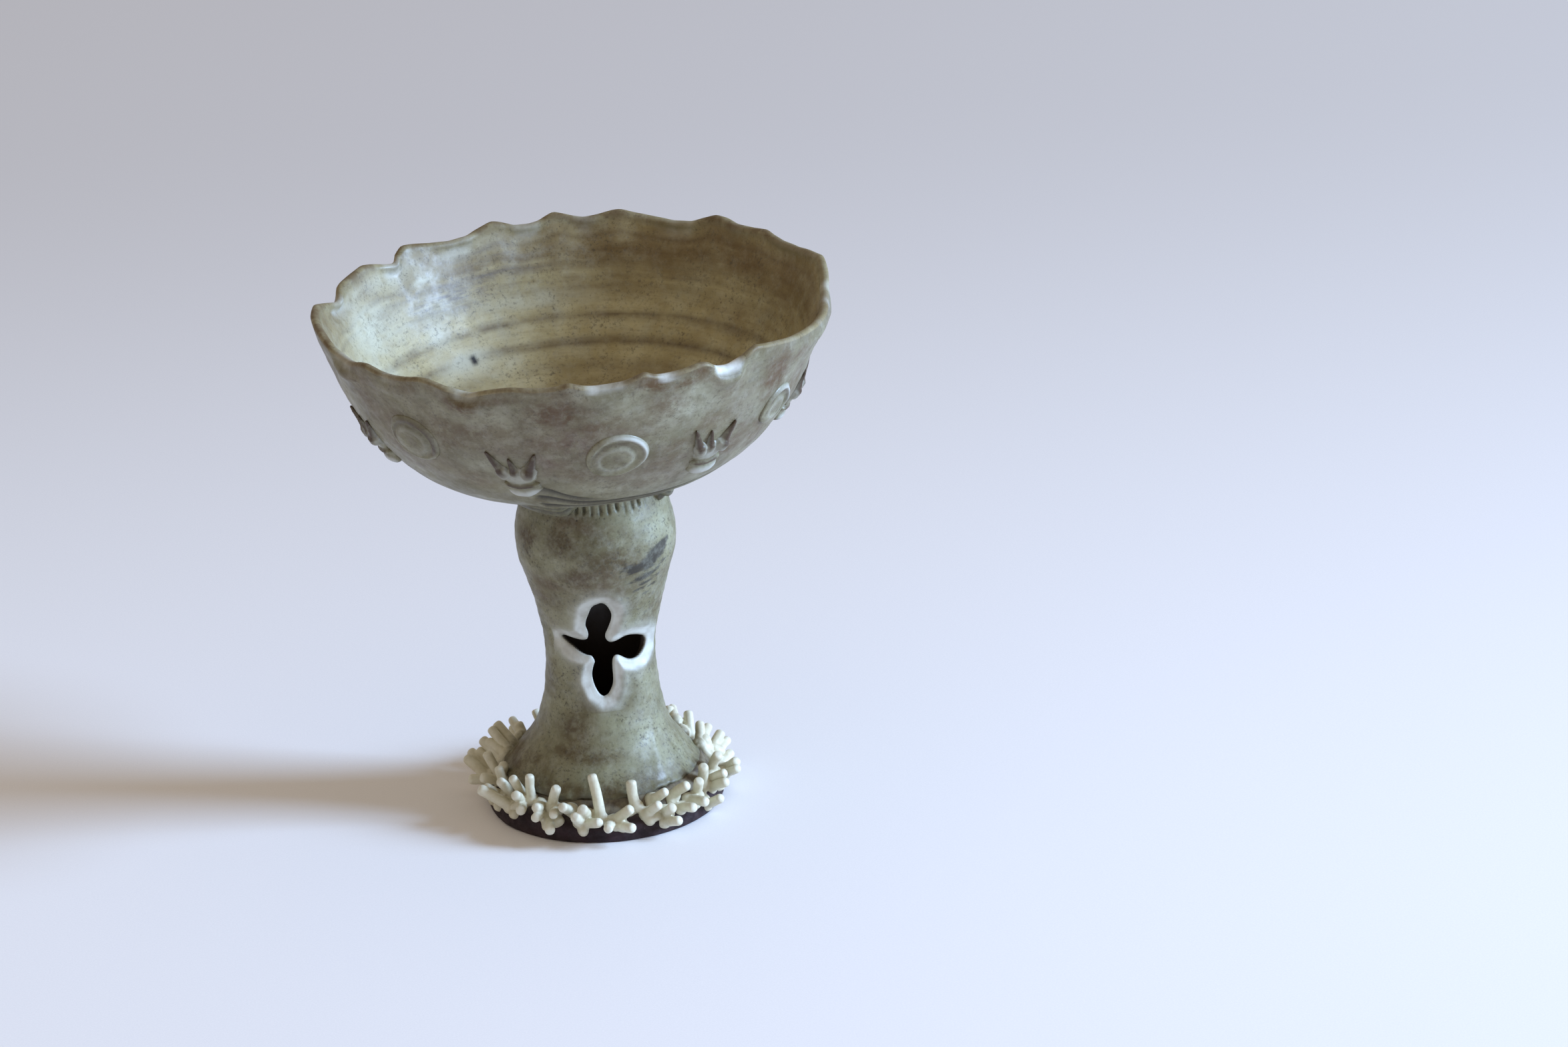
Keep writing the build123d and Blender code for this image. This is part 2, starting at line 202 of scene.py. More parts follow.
# ---------------------------------------------------------------- bowl
# azimuth, rim height
RIM = table(2, """
-106.1 166.4  -111.8 163.9  -113.2 165.0  -117.7 167.1  -123.8 167.9  -127.7 168.5  -131.0 167.4
-134.1 166.1  -136.9 165.2  -138.4 166.6  -141.4 169.1  -144.6 168.4  -148.7 167.2  -153.6 166.4
-158.4 166.7  -161.2 167.8  -165.0 169.4  -166.7 168.9  -170.1 167.2  -173.6 167.1  -176.2 167.6
-179.6 169.7  176.0 168.0  173.5 167.5  170.0 168.1  166.5 169.2  164.8 169.4  161.3 168.3
156.9 167.4  151.5 166.5  146.7 166.8  143.7 168.1  140.6 169.5  137.5 169.2  134.3 168.0
128.5 168.0  124.7 168.5  122.1 167.7  117.8 167.2  111.2 167.5  102.3 169.1  96.7 170.4
91.5 168.8  86.5 165.6  80.0 163.8  73.0 163.5  67.8 163.2  61.8 163.8  57.1 164.4  53.1 164.9
48.2 166.3  43.2 167.6  40.1 168.6  38.7 168.2  36.5 166.6  33.8 165.0  32.3 164.8  29.9 165.3
28.5 166.6  27.2 168.1  25.5 168.8  24.1 168.6  22.3 168.0  18.8 167.6  16.3 167.5  14.3 168.1
12.3 169.6  11.1 169.2  7.4 167.4  3.4 167.0  1.1 166.9  -1.2 167.4  -3.9 168.8  -4.6 168.9
-5.4 168.3  -8.2 167.6  -12.9 167.6  -16.8 168.0  -20.9 167.3  -24.3 166.2  -26.5 165.2
-28.6 165.5  -31.1 166.7  -33.7 168.0  -36.4 169.1  -38.8 169.2  -42.4 168.3  -45.6 167.7
-48.9 167.6  -51.8 168.5  -54.9 169.3  -57.6 168.7  -60.8 167.3  -65.0 166.5  -68.7 167.3
-72.0 169.2  -77.0 170.4  -84.0 169.9  -90.0 170.6  -98.7 169.6""")
RIM = RIM[np.argsort(RIM[:, 0])]
# radius, height
OUTER_PROFILE = table(2, """
0 113.0  12 113.0  20 113.15  30 113.9  40 115.4  50 119.0  60 127.4  70 141.0  76.9 156.8
79.2 162.6  80.1 166.4""")
LIP_PROFILE = table(2, """
80.1 166.2  80.1 166.9  79.7 167.45  79.0 167.65  78.2 167.45  77.5 166.8  77.1 165.9""")
INNER_PROFILE = table(2, """
77.1 165.9  76.2 163.0  73.3 157.6  66.6 143.2  56.4 130.2  46.8 122.7  35 119.2  20 117.7
0 117.4""")
BOWL_COLUMNS = 512
# Outer rows as (start share, end share, count): closer where ribs are drawn near the base.
OUTER_ROWS = (0, 0.43, 24), (0.43, 0.59, 44), (0.59, 0.9, 24)
OUTER, LIP, INNER = 0.0, 0.5, 1.0
# height, width, depth of the throwing rings inside
INNER_RINGS = table(3, """
139.2 .8 1  132.4 .8 1  144 .9 .35  146.9 1.2 .5  150.2 .8 .4  153.9 1 .75  157.2 .9 .9
159.4 .5 .5  161.6 .8 .8  126.4 1.1 .4  122.4 .8 .35  163.8 .6 .45""")
# azimuth, height, size round, size up, strength
OUTER_STAINS = {
    "brown": (1.45, table(5, """
-8 158.7 9 5 .9  -29 163 7 2.5 .75  -42 164 5 2.5 .5  -30 152 16 4 .5  1 153 12 3 .55
14 164.5 6 3.5 .85  25 165.5 5 3 .7  17 157 8 5 .5  49 156 7 7.5 .9  40 134 12 7 .6
52 133 9 7 .55  20 138 6 6 .45  34 157 6 4 .35  30 146 8 5 .4  62 146 8 10 .45  14 128 12 4 .4
58 160 7 4 .6  27 145 6 4 .35  -33 132 7 4 .4  0 141 5 8 .4  -3 135 8 3 .45  22 163 9 2.2 .6
-20 164 8 2 .55  -60 162 9 3 .5  40 138 5 4 .35  -60 155 5 8 .5  -36 148 10 5 .45
-56 140 6 6 .45  -12 148 8 3.5 .5  110 158 12 5 .7  150 150 14 6 .6  -160 160 12 5 .7
-120 150 12 7 .6  -140 132 12 5 .5  75 160 7 4 .4  -85 158 8 5 .5  175 126 14 5 .5""")),
    "mauve": (1.35, table(5, """
-4 148.5 7 4.5 .9  -12 141 6.5 5.5 .8  -22 145 8 4 .5  12 133 14 4 .45  -45 137 9 5 .4
38 150 8 6 .4  -52 150 8 6 .5  100 140 10 8 .5  140 160 10 5 .5  -170 140 12 8 .5
-105 135 9 7 .5  10 149.5 10 2.5 .4""")),
    "pale": (1.2, table(5, """
-22 157 9 4 .55  22 155 13 6.5 .7  41 148 8 8 .35  -27 139 9 5 .45  -60 132 8 5 .45
9 128 22 4 .4  31 131 10 6 .2  60 147 9 9 .2  -3 164 7 3 .4  85 150 14 10 .4  125 152 12 6 .5
-145 155 12 6 .5  -75 150 9 9 .4  165 160 10 5 .5""")),
}
INNER_STAINS = {
    "brown": table(5, """
164 157 30 4 .8  130 158 26 5 .9  108 155 22 7 .8  150 151 30 1.6 .6  90 156 18 7 .5
170 148 22 2 .4  118 143 20 4 .45  150 124 18 4 .4"""),
    "mauve": table(5, """
-150 151 13 3.2 1  -160 154.5 20 1.2 .9  -168 158.5 18 1.2 .8  -140 150 9 4 .7
-148 147 12 1.2 .7  -125 152 10 3 .4  -160 161.5 14 1 .6"""),
    # the pale spots on the inner left wall are painted light: the window light and its highlights
    # there
    "pale": table(5, """
-118 152 16 9 .9  -143 157.5 7 1.6 .8  -141 142.5 6 5 .8  -146 132.5 11 3.5 .9
-105 140 16 8 .7  -134 162 16 3 .6  -170 145 16 2.5 .5  -158 163 14 2 .5  -80 150 14 10 .5"""),
}
OUTER_GRAINS = (0.6, 6, 3), (0.3, 2, 1.1)
INNER_GRAINS = (0.5, 9, 2.2), (0.3, 2.5, 0.8)
PINHOLE = ((-148.6, 132.7, 1.0, 0.85, 2.2),)


def rim_height(angle, spread=0.8):
    """Rim height at an azimuth, blurred over a spread of degrees."""
    knots = np.vstack([RIM[-3:] - (360, 0), RIM, RIM[:3] + (360, 0)])
    step = 0.25
    grid = np.arange(-200, 200, step)
    reach = int(spread * 12)
    weights = np.exp(-0.5 * (np.arange(-reach, reach + 1) * step / spread) ** 2)
    heights = np.pad(np.interp(grid, *knots.T), reach, mode="edge")
    heights = np.convolve(heights, weights / weights.sum(), mode="valid")
    return np.interp((np.asarray(angle) + 180) % 360 - 180, grid, heights)


def shape_bowl(radius, z, angle, zone):
    """Work the turned profile; returns radius, height and ring, rib and rim-dip strengths."""
    turn = np.radians(angle)
    x, y = plan(radius, angle)
    inner, outside = zone == INNER, zone < INNER
    rim = rim_height(angle, 0.5)
    raised = rim - rim_height(angle, 8.0)
    fold = np.clip(-raised / 1.35, 0, 1.15)
    dip = np.clip(-raised / 1.5, -1.0, 1.15)
    # each hollow starts sharply on one side and fades on the other
    skew = np.clip((rim_height(angle + 1.2) - rim_height(angle - 1.2)) / 1.6, -1, 1)
    # the edge is pressed down and in, which pushes the wall out just below
    press = smooth(158.5, 166.5, z)
    push = (outside * press + inner * smooth(162.5, 166.5, z)) * 0.70 * fold
    push = push - outside * 2.05 * fold * smooth(163.4, 167.3, z)
    push = push + outside * 0.55 * fold * bump(z, 162.6, 1.5)
    push = push + outside * press * 0.40 * skew * fold
    push = push + 0.5 * np.clip(-dip, 0, 1) * press * (0.6 + 0.4 * outside)
    lift = smooth(148, 165, z) * (rim - 167.5)
    # slow wobble, then fine unevenness away from the axis
    push = push + 0.35 * np.sin(2 * turn + 0.8) * smooth(118, 160, z)
    push = push + fractal(x, y, z, 26, 3) * 0.28
    push = push + fractal(x, y, z, 7, 5) * 0.085 * smooth(6, 26, radius)
    ring = np.zeros_like(radius)
    level = z + 0.55 * np.sin(turn + 0.4) + 0.3 * fractal(x, y, z, 40, 9)
    for height, width, depth in INNER_RINGS:
        band = bump(level, height, width, 0.5)
        ring = np.maximum(ring, band * depth)
        push = push + inner * 0.20 * depth * band
    # fine throwing lines outside
    lines = np.sin((z + 1.2 * np.sin(turn + 1)) * 2.3) * 0.03
    lines = lines + np.sin((z + 0.8 * np.sin(turn * 2)) * 1.05 + 1) * 0.05
    outer = zone == OUTER
    push = push + outer * lines * smooth(120, 128, z) * (1 - smooth(160, 166, z))
    # ribs round the base of the bowl: wide apart on the left, closing up to the right
    groove = np.zeros_like(radius)
    fan = np.where(angle > -18, bump(angle, -18, 9.5), 1.0)
    for k in range(4):
        centre = 48.7 + 2.0 * k + 2.1 * k * fan + 0.3 * np.sin(turn * 7 + k)
        keep = 1.0 if k < 3 else smooth(6, -8, angle)
        rib = keep * (1.0 - 0.10 * k) * bump(radius, centre, 0.52 + 0.22 * fan, 0.5)
        groove = np.maximum(groove, rib)
    base = outer * (z < 140) * (radius > 44)
    front = smooth(-19.0, -16.6, angle) * smooth(72, 34, angle)
    back = 0.5 * smooth(100, 125, angle) * smooth(205, 170, angle)
    groove = groove * base * (front + back)
    swell = bump(radius, 51, 4.5) * base * smooth(-19.5, -16, angle) * smooth(60, 20, angle)
    lift = lift + groove * 0.95 - swell * 0.80
    push = push - groove * 0.70 + swell * 0.45
    return radius + push, z + lift, ring * inner, groove, dip


def bowl_profile():
    """Radius, height and zone of each row, from the underside's centre over the lip."""
    shares = [np.linspace(*row, endpoint=False) for row in OUTER_ROWS]
    outer = curve(OUTER_PROFILE, np.r_[(*shares, np.linspace(0.9, 1, 14))])
    lip = curve(LIP_PROFILE, 12)[1:]
    inner = curve(INNER_PROFILE, 66)[1:]
    zone = np.repeat([OUTER, LIP, INNER], [len(outer), len(lip), len(inner)])
    return (*np.vstack([outer, lip, inner]).T, zone)


def build_bowl(material):
    radii, heights, zones = bowl_profile()
    angle, radius, z, zone = spin(BOWL_COLUMNS, radii[1:-1], heights[1:-1], zones[1:-1])
    shaped, lifted, ring, groove, dip = shape_bowl(radius, z, angle, zone)
    poles = [[0, 0, heights[0]], [0, 0, heights[-1]]]
    verts = np.vstack([polar(shaped, angle, lifted).reshape(-1, 3), poles])
    outer, inner = zone == OUTER, zone == INNER
    # brown breaks over the lip, more on its crests
    edge = bump(z, 167.4, np.where(outer, 1.6, 1.7))
    crests = np.clip(0.85 - 0.9 * dip, 0.10, 1.0)
    crests = crests * (1 - 0.6 * smooth(22, 48, angle) * smooth(125, 100, angle))
    edge = np.clip(edge * crests, 0, 1)
    # painted highlight: the pressed hollows of the lip are whitened, most on the front right where
    # the window light falls
    lit = 0.35 + 0.65 * smooth(-14, 0, angle) * smooth(125, 60, angle)
    hollow = rim_height(angle, 4.0) - rim_height(angle, 0.5)
    line = z + 0.5 * noise(angle / 2.2, z, 0, 9)
    scoop = smooth(0.10, 0.75, hollow) * smooth(164.7, 166.2, line) * (zone < INNER) * lit
    scoop = scoop + 0.5 * smooth(0.2, 0.8, dip) * smooth(161.5, 165, z) * inner
    stains = {}
    for name, (gain, rows) in OUTER_STAINS.items():
        outside = gain * spots(rows, angle, z, radius, OUTER_GRAINS) * outer
        inside = spots(INNER_STAINS[name], angle, z, radius, INNER_GRAINS) * inner
        stains[name] = flat(outside + inside, 0, 0)
    pin = np.clip(spots(PINHOLE, angle, z, radius), 0, 1) * inner
    add_piece("bowl_glazed", "bowl", "bowl_glaze", material, lean(verts),
              lathe_faces(*z.shape), pin=flat(pin, 0, 0), **stains, edge=flat(edge, 0, 0),
              scoop=flat(scoop, 0, 0), inside=flat(zone, 0, 1), ring=flat(ring, 0, 0),
              groove=flat(groove, 0, 0), hgt=flat(z, 113, 117))


# The outer wall as a curve, for what is applied to it.
WALL = curve(OUTER_PROFILE, 600)
WALL_ARC = arc_lengths(WALL)


def wall_at(station):
    return [np.interp(station, WALL_ARC, WALL[:, k]) for k in (0, 1)]


def on_wall(angle, z, across, up, out):
    """Points round the wall, up it and out of it from an azimuth and height."""
    home = np.interp(z, WALL[200:, 1], WALL_ARC[200:])
    station = home + up
    radius, height = wall_at(station)
    angle = angle + np.degrees(across / (0.5 * radius + 0.5 * wall_at(home)[0]))
    radius_below, z_below = wall_at(station - 0.6)
    radius_above, z_above = wall_at(station + 0.6)
    widen, rise = radius_above - radius_below, z_above - z_below
    length = np.hypot(widen, rise)
    radius, height, *_ = shape_bowl(radius, height, angle, OUTER)
    return lean(polar(radius + rise / length * out, angle, height - widen / length * out))


# ---------------------------------------------------------------- sprigs
# azimuth, height, radius
ROUNDELS = table(3, """
5.8 140.8 9.45  54.6 141.8 7.6  107.0 142.6 9.2  158.4 141.6 9.4  -150.2 142.2 9.3
-98.6 143.4 9.0  -46.9 145.3 9.3""")
# azimuth, height
PRONGS = table(2, """
31.7 136.0  78.6 135.6  132.7 135.8  -175.9 136.0  -124.4 136.4  -73.0 137.0  -20.3 136.0""")
# tip across and up, root across and up, width of each prong
PRONG_RODS = table(5, "-7.6 10 -2.8 -1.4 2.05  -0.9 8 0 -0.6 1.75  7 9.8 3.1 -1.4 2.45")
# centre across, up and out, then the radii: palm, ridge, cup and the body joining them
PRONG_PADS = table(6, """
0.3 -1.6 -0.3 5.7 4.4 1.85  0.4 -5.3 0 5.9 1.25 2  0.6 -8.7 -0.2 5.9 2.9 2.6
0.5 -6.8 -0.4 5.9 2.4 1.75""")
SPRIG_BACK = -0.9       # how far a roundel's back lies inside the wall


def build_roundel(number, angle, z, size, material):
    """A round pad with a raised rim and a sunk inner disc, modelled flat and wrapped."""
    columns, rows = 112, 46
    turn, share = np.meshgrid(np.arange(columns) * 2 * np.pi / columns,
                              np.linspace(0.0, 1.0, rows + 1)[1:], indexing="ij")
    seed = 100 + number

    def facing(degrees):
        return np.cos(turn - math.radians(degrees))

    radius = size + 0.28 * np.sin(2 * turn + number) + 0.16 * np.sin(3 * turn + 2.1 * number)
    across, up = share * radius * np.cos(turn), share * radius * np.sin(turn)
    margin = (1 - share) * radius
    lit = 0.5 + 0.5 * facing(42)        # clay pushed up on the upper right
    rim = 0.02 + 0.62 * lit ** 1.7 + 0.06 * np.sin(3 * turn + number)
    # the inner disc sits a little low and to the left of the outer one
    reach = np.hypot(across + 0.75, up + 0.75)
    disc = 0.62 * radius + 0.2 * np.sin(2 * turn + 1.3 * number)
    step = smooth(disc + 1.0, disc - 1.4, reach)
    moat = np.exp(-((reach - disc - 0.9) / 0.85) ** 2) * smooth(0.6, 1.8, margin)
    lip = np.exp(-((reach - disc + 1.0) / 0.8) ** 2)
    boss = smooth(3.6, 0.6, reach)
    out = 0.42 * smooth(0, 1.5, margin) + rim * bump(margin, 1.25, 0.85)
    out = out - 0.34 * moat * (0.35 + 0.75 * lit) + 0.42 * step + 0.10 * lip - 0.12 * boss
    # the lower edge stands square to the wall
    out = out + (0.62 - 0.50 * lit) * smooth(0.0, 0.28, margin) * smooth(4.5, 1.5, margin)
    out = out + 0.09 * fractal(across, up, 0, 2.6, seed, 3) * smooth(0, 1.5, margin)

    verts = on_wall(angle, z, flat(across, across[:, -1] * 0.985, 0, 0),
                    flat(up, up[:, -1] * 0.985, 0, 0),
                    flat(out, np.full(columns, SPRIG_BACK), out[:, 0].mean(), SPRIG_BACK))
    back = columns * rows
    front_centre, back_centre = back + columns, back + columns + 1
    faces = []
    for i in range(columns):
        k = (i + 1) % columns
        near, far = i * rows, k * rows
        faces.extend((near + j, near + j + 1, far + j + 1, far + j) for j in range(rows - 1))
        faces.append((front_centre, near, far))
        faces.append((near + rows - 1, back + i, back + k, far + rows - 1))
        faces.append((back + i, back_centre, back + k))

    # the last roundel, on the shaded left of the bowl, holds a brown arc in its rim and keeps
    # little of the painted highlight
    shade = 1.0 if number == 7 else 0.0
    # brown in the moat, stronger on the upper left
    recess = np.clip(moat * (0.45 + 0.65 * facing(125)), 0, 1)
    recess = recess * (0.7 + 0.5 * noise(across / 1.5, up / 1.5, 0, seed + 3))
    # painted shadow on the inner side of the rim at the upper right
    recess = recess + 0.8 * bump(margin, 2.0, 0.45) * np.clip(facing(45), 0, 1) ** 2
    recess = recess + shade * bump(margin, 1.5, 0.9) * np.clip(facing(35), 0, 1)
    # painted shadow line along the lower edge of the pad
    low = np.clip(0.25 - up / radius, 0, 1) * smooth(0.32, 0.05, margin)
    arc = shade * bump(margin, 1.9, 0.95) * np.clip(1.25 * facing(28) + 0.15, 0, 1)
    worn = boss * (0.75 + 0.25 * noise(across / 2, up / 2, 0, seed)) * 0.8
    # painted highlight: white on the rim where it faces the light at the upper right, plus glaze
    # pooled on the inner disc's lip
    pool = 1.1 * (1 - 0.85 * shade) * lit ** 3.5 * bump(margin, 1.0, 0.75) + 0.22 * lip
    none = np.zeros(columns + 2)
    add_piece(f"roundel_sprig_{number}", f"roundel_{number}", "sprig_glaze", material, verts,
              faces, edge=flat(np.clip(worn * 0.5 + arc, 0, 1), none),
              recess=flat(recess * 0.8 + low * 0.9, np.ones(columns), 0, 1),
              pool=flat(np.clip(pool, 0, 1), none))


def tube(start, end, start_radius, end_radius, sides=20, ends=(0.6, 0.6)):
    """Closed tapered rod; ends gives each end's rounding as a share of its radius."""
    start, end = np.asarray(start, float), np.asarray(end, float)
    axis = end - start
    length = np.linalg.norm(axis)
    axis = axis / length
    side = np.cross([0, 0, 1.0] if abs(axis[2]) < 0.9 else [1.0, 0, 0], axis)
    side /= np.linalg.norm(side)
    other = np.cross(axis, side)
    first, last = ends[0] * start_radius, ends[1] * end_radius
    turns = [k / 4 * np.pi / 2 for k in range(5)]
    rows = [(first - first * np.cos(q), start_radius - first + first * np.sin(q)) for q in turns]
    rows += [(length * f, start_radius + (end_radius - start_radius) * f)
             for f in (0.25, 0.5, 0.75)]
    rows += [(length - last + last * np.sin(q), end_radius - last + last * np.cos(q))
             for q in turns]
    circle = np.arange(sides) * 2 * np.pi / sides
    verts = [start + axis * along + side * radius * np.cos(q) + other * radius * np.sin(q)
             for along, radius in rows for q in circle]
    top = (len(rows) - 1) * sides
    faces = [(j + i, j + (i + 1) % sides, j + sides + (i + 1) % sides, j + sides + i)
             for j in range(0, top, sides) for i in range(sides)]
    faces += [tuple(reversed(range(sides))), tuple(top + i for i in range(sides))]
    return np.array(verts), faces


def ball(centre, size_x, size_y, size_z):
    sides, rings = 20, 12
    x, y, z = centre
    verts = []
    for j in range(1, rings):
        tilt = np.pi * j / rings
        for i in range(sides):
            turn = 2 * np.pi * i / sides
            verts.append((x + size_x * np.sin(tilt) * np.cos(turn),
                          y + size_y * np.sin(tilt) * np.sin(turn), z + size_z * np.cos(tilt)))
    verts += [(x, y, z + size_z), (x, y, z - size_z)]
    last = (rings - 2) * sides
    top = last + sides
    faces = [(j + i, j + sides + i, j + sides + (i + 1) % sides, j + (i + 1) % sides)
             for j in range(0, last, sides) for i in range(sides)]
    for i in range(sides):
        k = (i + 1) % sides
        faces += [(top, i, k), (top + 1, last + k, last + i)]
    return np.array(verts), faces


def fuse(name, solids, voxel, passes):
    """One skin round overlapping closed shapes, rebuilt evenly and softened."""
    faces, count = [], 0
    for part, part_faces in solids:
        faces += [tuple(i + count for i in face) for face in part_faces]
        count += len(part)
    ob = make_mesh(name + "_raw", np.vstack([part for part, _ in solids]), faces)
    skin = ob.modifiers.new("skin", "REMESH")
    skin.mode = "VOXEL"
    skin.voxel_size = voxel * MM
    graph = bpy.context.evaluated_depsgraph_get()
    mesh = bpy.data.meshes.new_from_object(ob.evaluated_get(graph), depsgraph=graph)
    verts = np.empty(len(mesh.vertices) * 3)
    mesh.vertices.foreach_get("co", verts)
    verts = verts.reshape(-1, 3) / MM
    edges = np.empty(len(mesh.edges) * 2, np.int64)
    mesh.edges.foreach_get("vertices", edges)
    first, second = edges.reshape(-1, 2).T
    faces = [tuple(face.vertices) for face in mesh.polygons]
    degree = np.maximum(np.bincount(edges, minlength=len(verts))[:, None], 1)
    # every smoothing step but the last is partly undone, to hold the volume
    for step in (0.50, -0.28) * (passes - 1) + (0.5,):
        total = np.zeros_like(verts)
        np.add.at(total, first, verts[second])
        np.add.at(total, second, verts[first])
        verts = verts + step * (total / degree - verts)
    bpy.data.objects.remove(ob)
    bpy.data.meshes.remove(mesh)
    return verts, faces


def build_prong_sprig(number, angle, z, material):
    """Three prongs on a palm over a cup, modelled flat as (across, up, out) and wrapped."""
    rng = np.random.default_rng(40 + number)
    rods = [(tip_x + rng.uniform(-0.5, 0.5), tip_y + rng.uniform(-0.6, 0.6), *rest)
            for tip_x, tip_y, *rest in PRONG_RODS]
    parts = []
    for tip_x, tip_y, x, y, width in rods:
        parts.append(tube((x, y, 0.05), (tip_x, tip_y, 0.35), width, 0.42, ends=(0.9, 0.9)))
        middle = x + 0.45 * (tip_x - x), y + 0.45 * (tip_y - y), 0.35
        parts.append(tube((x, y, 0.15), middle, width * 1.02, width * 0.98, ends=(0.9, 0.9)))
    parts += [ball(pad[:3], *pad[3:]) for pad in PRONG_PADS]
    verts, faces = fuse(f"prong_sprig_skin_{number}", parts, 0.24, 4)
    across, up, out = verts.T
    relief = np.where(out > 0, out * 1.05, out * 0.5)
    out = np.maximum(relief + 0.10 * fractal(across, up, out, 2.2, 60 + number), -0.95)
    # dark crests run along each prong and across the ridge
    crest = np.zeros_like(across)
    for tip_x, tip_y, x, y, width in rods:
        run, rise = tip_x - x, tip_y - y
        along = ((across - x) * run + (up - y) * rise) / (run * run + rise * rise)
        along = np.clip(along, 0.12, 1)
        distance = np.hypot(across - x - along * run, up - y - along * rise)
        inset = smooth(1.05, 0.35, distance / (width * (1.05 - 0.62 * along)))
        crest = np.maximum(crest, inset * smooth(0.05, 0.4, along))
    crest = np.maximum(crest, bump(up, -5.3, 0.85) * smooth(4.9, 3.6, np.abs(across)))
    pool = smooth(0.6, 1.8, out) * smooth(-6.3, -8.5, up)
    pool = pool + 0.9 * smooth(1.5, 0.4, out) * smooth(-4, 2, up)
    pool = pool + 0.5 * smooth(-4.4, -3.2, up) * smooth(0.8, 1.6, out)
    add_piece(f"pronged_sprig_{number}", f"prong_sprig_{number}", "sprig_glaze", material,
              on_wall(angle, z, across, up, out), faces, edge=crest,
              recess=np.clip(smooth(0.35, -0.2, out), 0, 1) * 0.5,
              pool=np.clip(pool, 0, 1) * (1 - crest))


# ---------------------------------------------------------------- stem
# radius, height
STEM_OUTER = table(2, """
31.3 11.6  31.0 12.4  29.6 14.0  26.9 18.0  23.7 22.0  21.5 26.0  20.1 30.0  18.8 35.0
18.0 40.0  17.6 45.0  17.45 50.0  17.5 55.0  18.05 60.0  19.05 65.0  20.3 70.0  21.7 75.0
23.25 80.0  24.6 85.0  25.2 90.0  24.7 95.0  23.6 100.0  22.5 104.0  22.0 106.6  22.2 108.6
23.2 111.0  24.6 112.9""")
STEM_INNER = table(2, """
26.9 11.6  23.2 17.5  19.2 24.0  16.2 30.0  14.4 38.0  13.6 46.0  13.5 54.0  14.5 62.0
16.2 69.0  17.8 75.0  19.6 81.0  21.0 87.0  21.2 92.0  20.2 98.0  18.6 102.0  17.4 106.6
17.0 112.9""")
# height, shift of the stem's axis to the viewer's right
STEM_SHIFT = table(2, """
12 -.8  14 -.8  22 -.4  30 .3  40 .75  50 1  60 1.3  70 1.5  90 1.5  104 1.4  110 .9  116 .4""")
# azimuth, height round the cross piercing
CROSS = table(2, """
-5.5 74.6  -1.6 75.0  1.8 74.5  5.3 73.0  8.5 70.3  8.2 68.4  6.9 66.9  4.3 64.9  2.2 63.4
2.0 61.9  4.2 60.7  8.0 60.0  14.7 60.2  23.6 61.1  30.0 61.2  36.0 60.8  43.0 60.0  51.5 58.6
57.6 56.6  56.0 54.6  50.0 53.3  42.5 52.4  36.0 52.4  29.9 52.9  25.3 53.6  21.1 54.4
15.9 55.1  11.8 54.7  9.9 53.5  9.7 50.7  10.1 47.6  8.8 45.1  3.6 42.5  0.4 42.0  -2.2 41.8
-6.8 42.8  -11.3 45.0  -14.4 47.8  -14.8 49.6  -12.8 52.2  -11.2 53.5  -12.4 54.5  -15.2 55.4
-22.0 55.8  -29.0 56.7  -36.0 58.4  -42.5 59.7  -47.4 60.9  -44.0 61.7  -40.1 61.8  -32.7 61.4
-24.7 61.1  -19.2 61.5  -17.2 62.8  -17.4 64.5  -19.0 66.3  -17.9 68.4  -14.6 70.9  -11.3 73.2
-8.4 74.2""")
MM_PER_DEGREE = math.radians(1) * 17.7      # round the stem at the cross
STAIN_RADIUS, STREAK_RADIUS = 20, 24        # radii at which painted sizes are laid out
# azimuth, height, size round, size up, strength
STEM_STAINS = {
    "brown": table(5, """
-62 95 5 4.5 .95  -28 95 5 5 .95  -23 102.5 6 2 .9  -14 84.5 7 3.6 .9  0 86 6 4 .75
8 97 9 3.5 .6  10 90 9 5 .8  22 87 6 4 .7  30 72 8 3 .45  62 58 5 6 .4  -4 91 6 4 .4
40 73 7 3 .5  55 66 6 4 .6  34 70 6 3 .4  -12 99 8 3 .6  -50 75 7 3 .6  -44 80 7 3 .45
70 67 5 4 .7  58 70 5 3 .55  28 92 5 3 .45  10 79 7 2.5 .5  62 79 5 5 .55  -30 31.5 6 5.5 .8
-30 24.5 9 2.6 .8  -8 23 9 2.4 .7  -88 17 9 4.5 .9  -60 19.5 10 3 .55  10 16.5 10 2.2 .6
34 15.5 9 2 .6  2 14.3 12 1.8 .8  -34 14.5 12 2 .7  -20 39 5 3 .4  -72 44 5 6 .45  62 50 4 6 .4
110 88 9 6 .6  150 30 12 8 .6  200 82 12 6 .6  240 24 14 6 .6  180 60 10 10 .4  250 95 9 5 .6
160 100 12 4 .6"""),
    "mauve": table(5, """
-48 80.5 8 2.6 .9  -4 81 8 3.2 .8  6 84 6 3 .6  -68 74 6 4 .6  22 79 8 3 .55  -18 101 7 2 .7
30 40 9 6 .25  140 70 12 9 .5  220 45 12 9 .5"""),
    "pale": table(5, """
-46 92.5 5 4 .7  -30 88.5 4 3.5 .8  46 97 8 5 .9  20 99.5 6 4 .45  62 92 4 6 .6  36 27 11 8 .9
8 32 9 5 .75  -2 27 7 4 .5  -62 36 8 6 .6  -40 66 8 5 .5  48 20 9 5 .6  -70 28 8 5 .5
-6 18.5 8 2.2 .5  -52 52 6 9 .5  56 42 6 8 .5  120 50 12 14 .5  210 65 12 8 .5
170 20 14 5 .5"""),
}
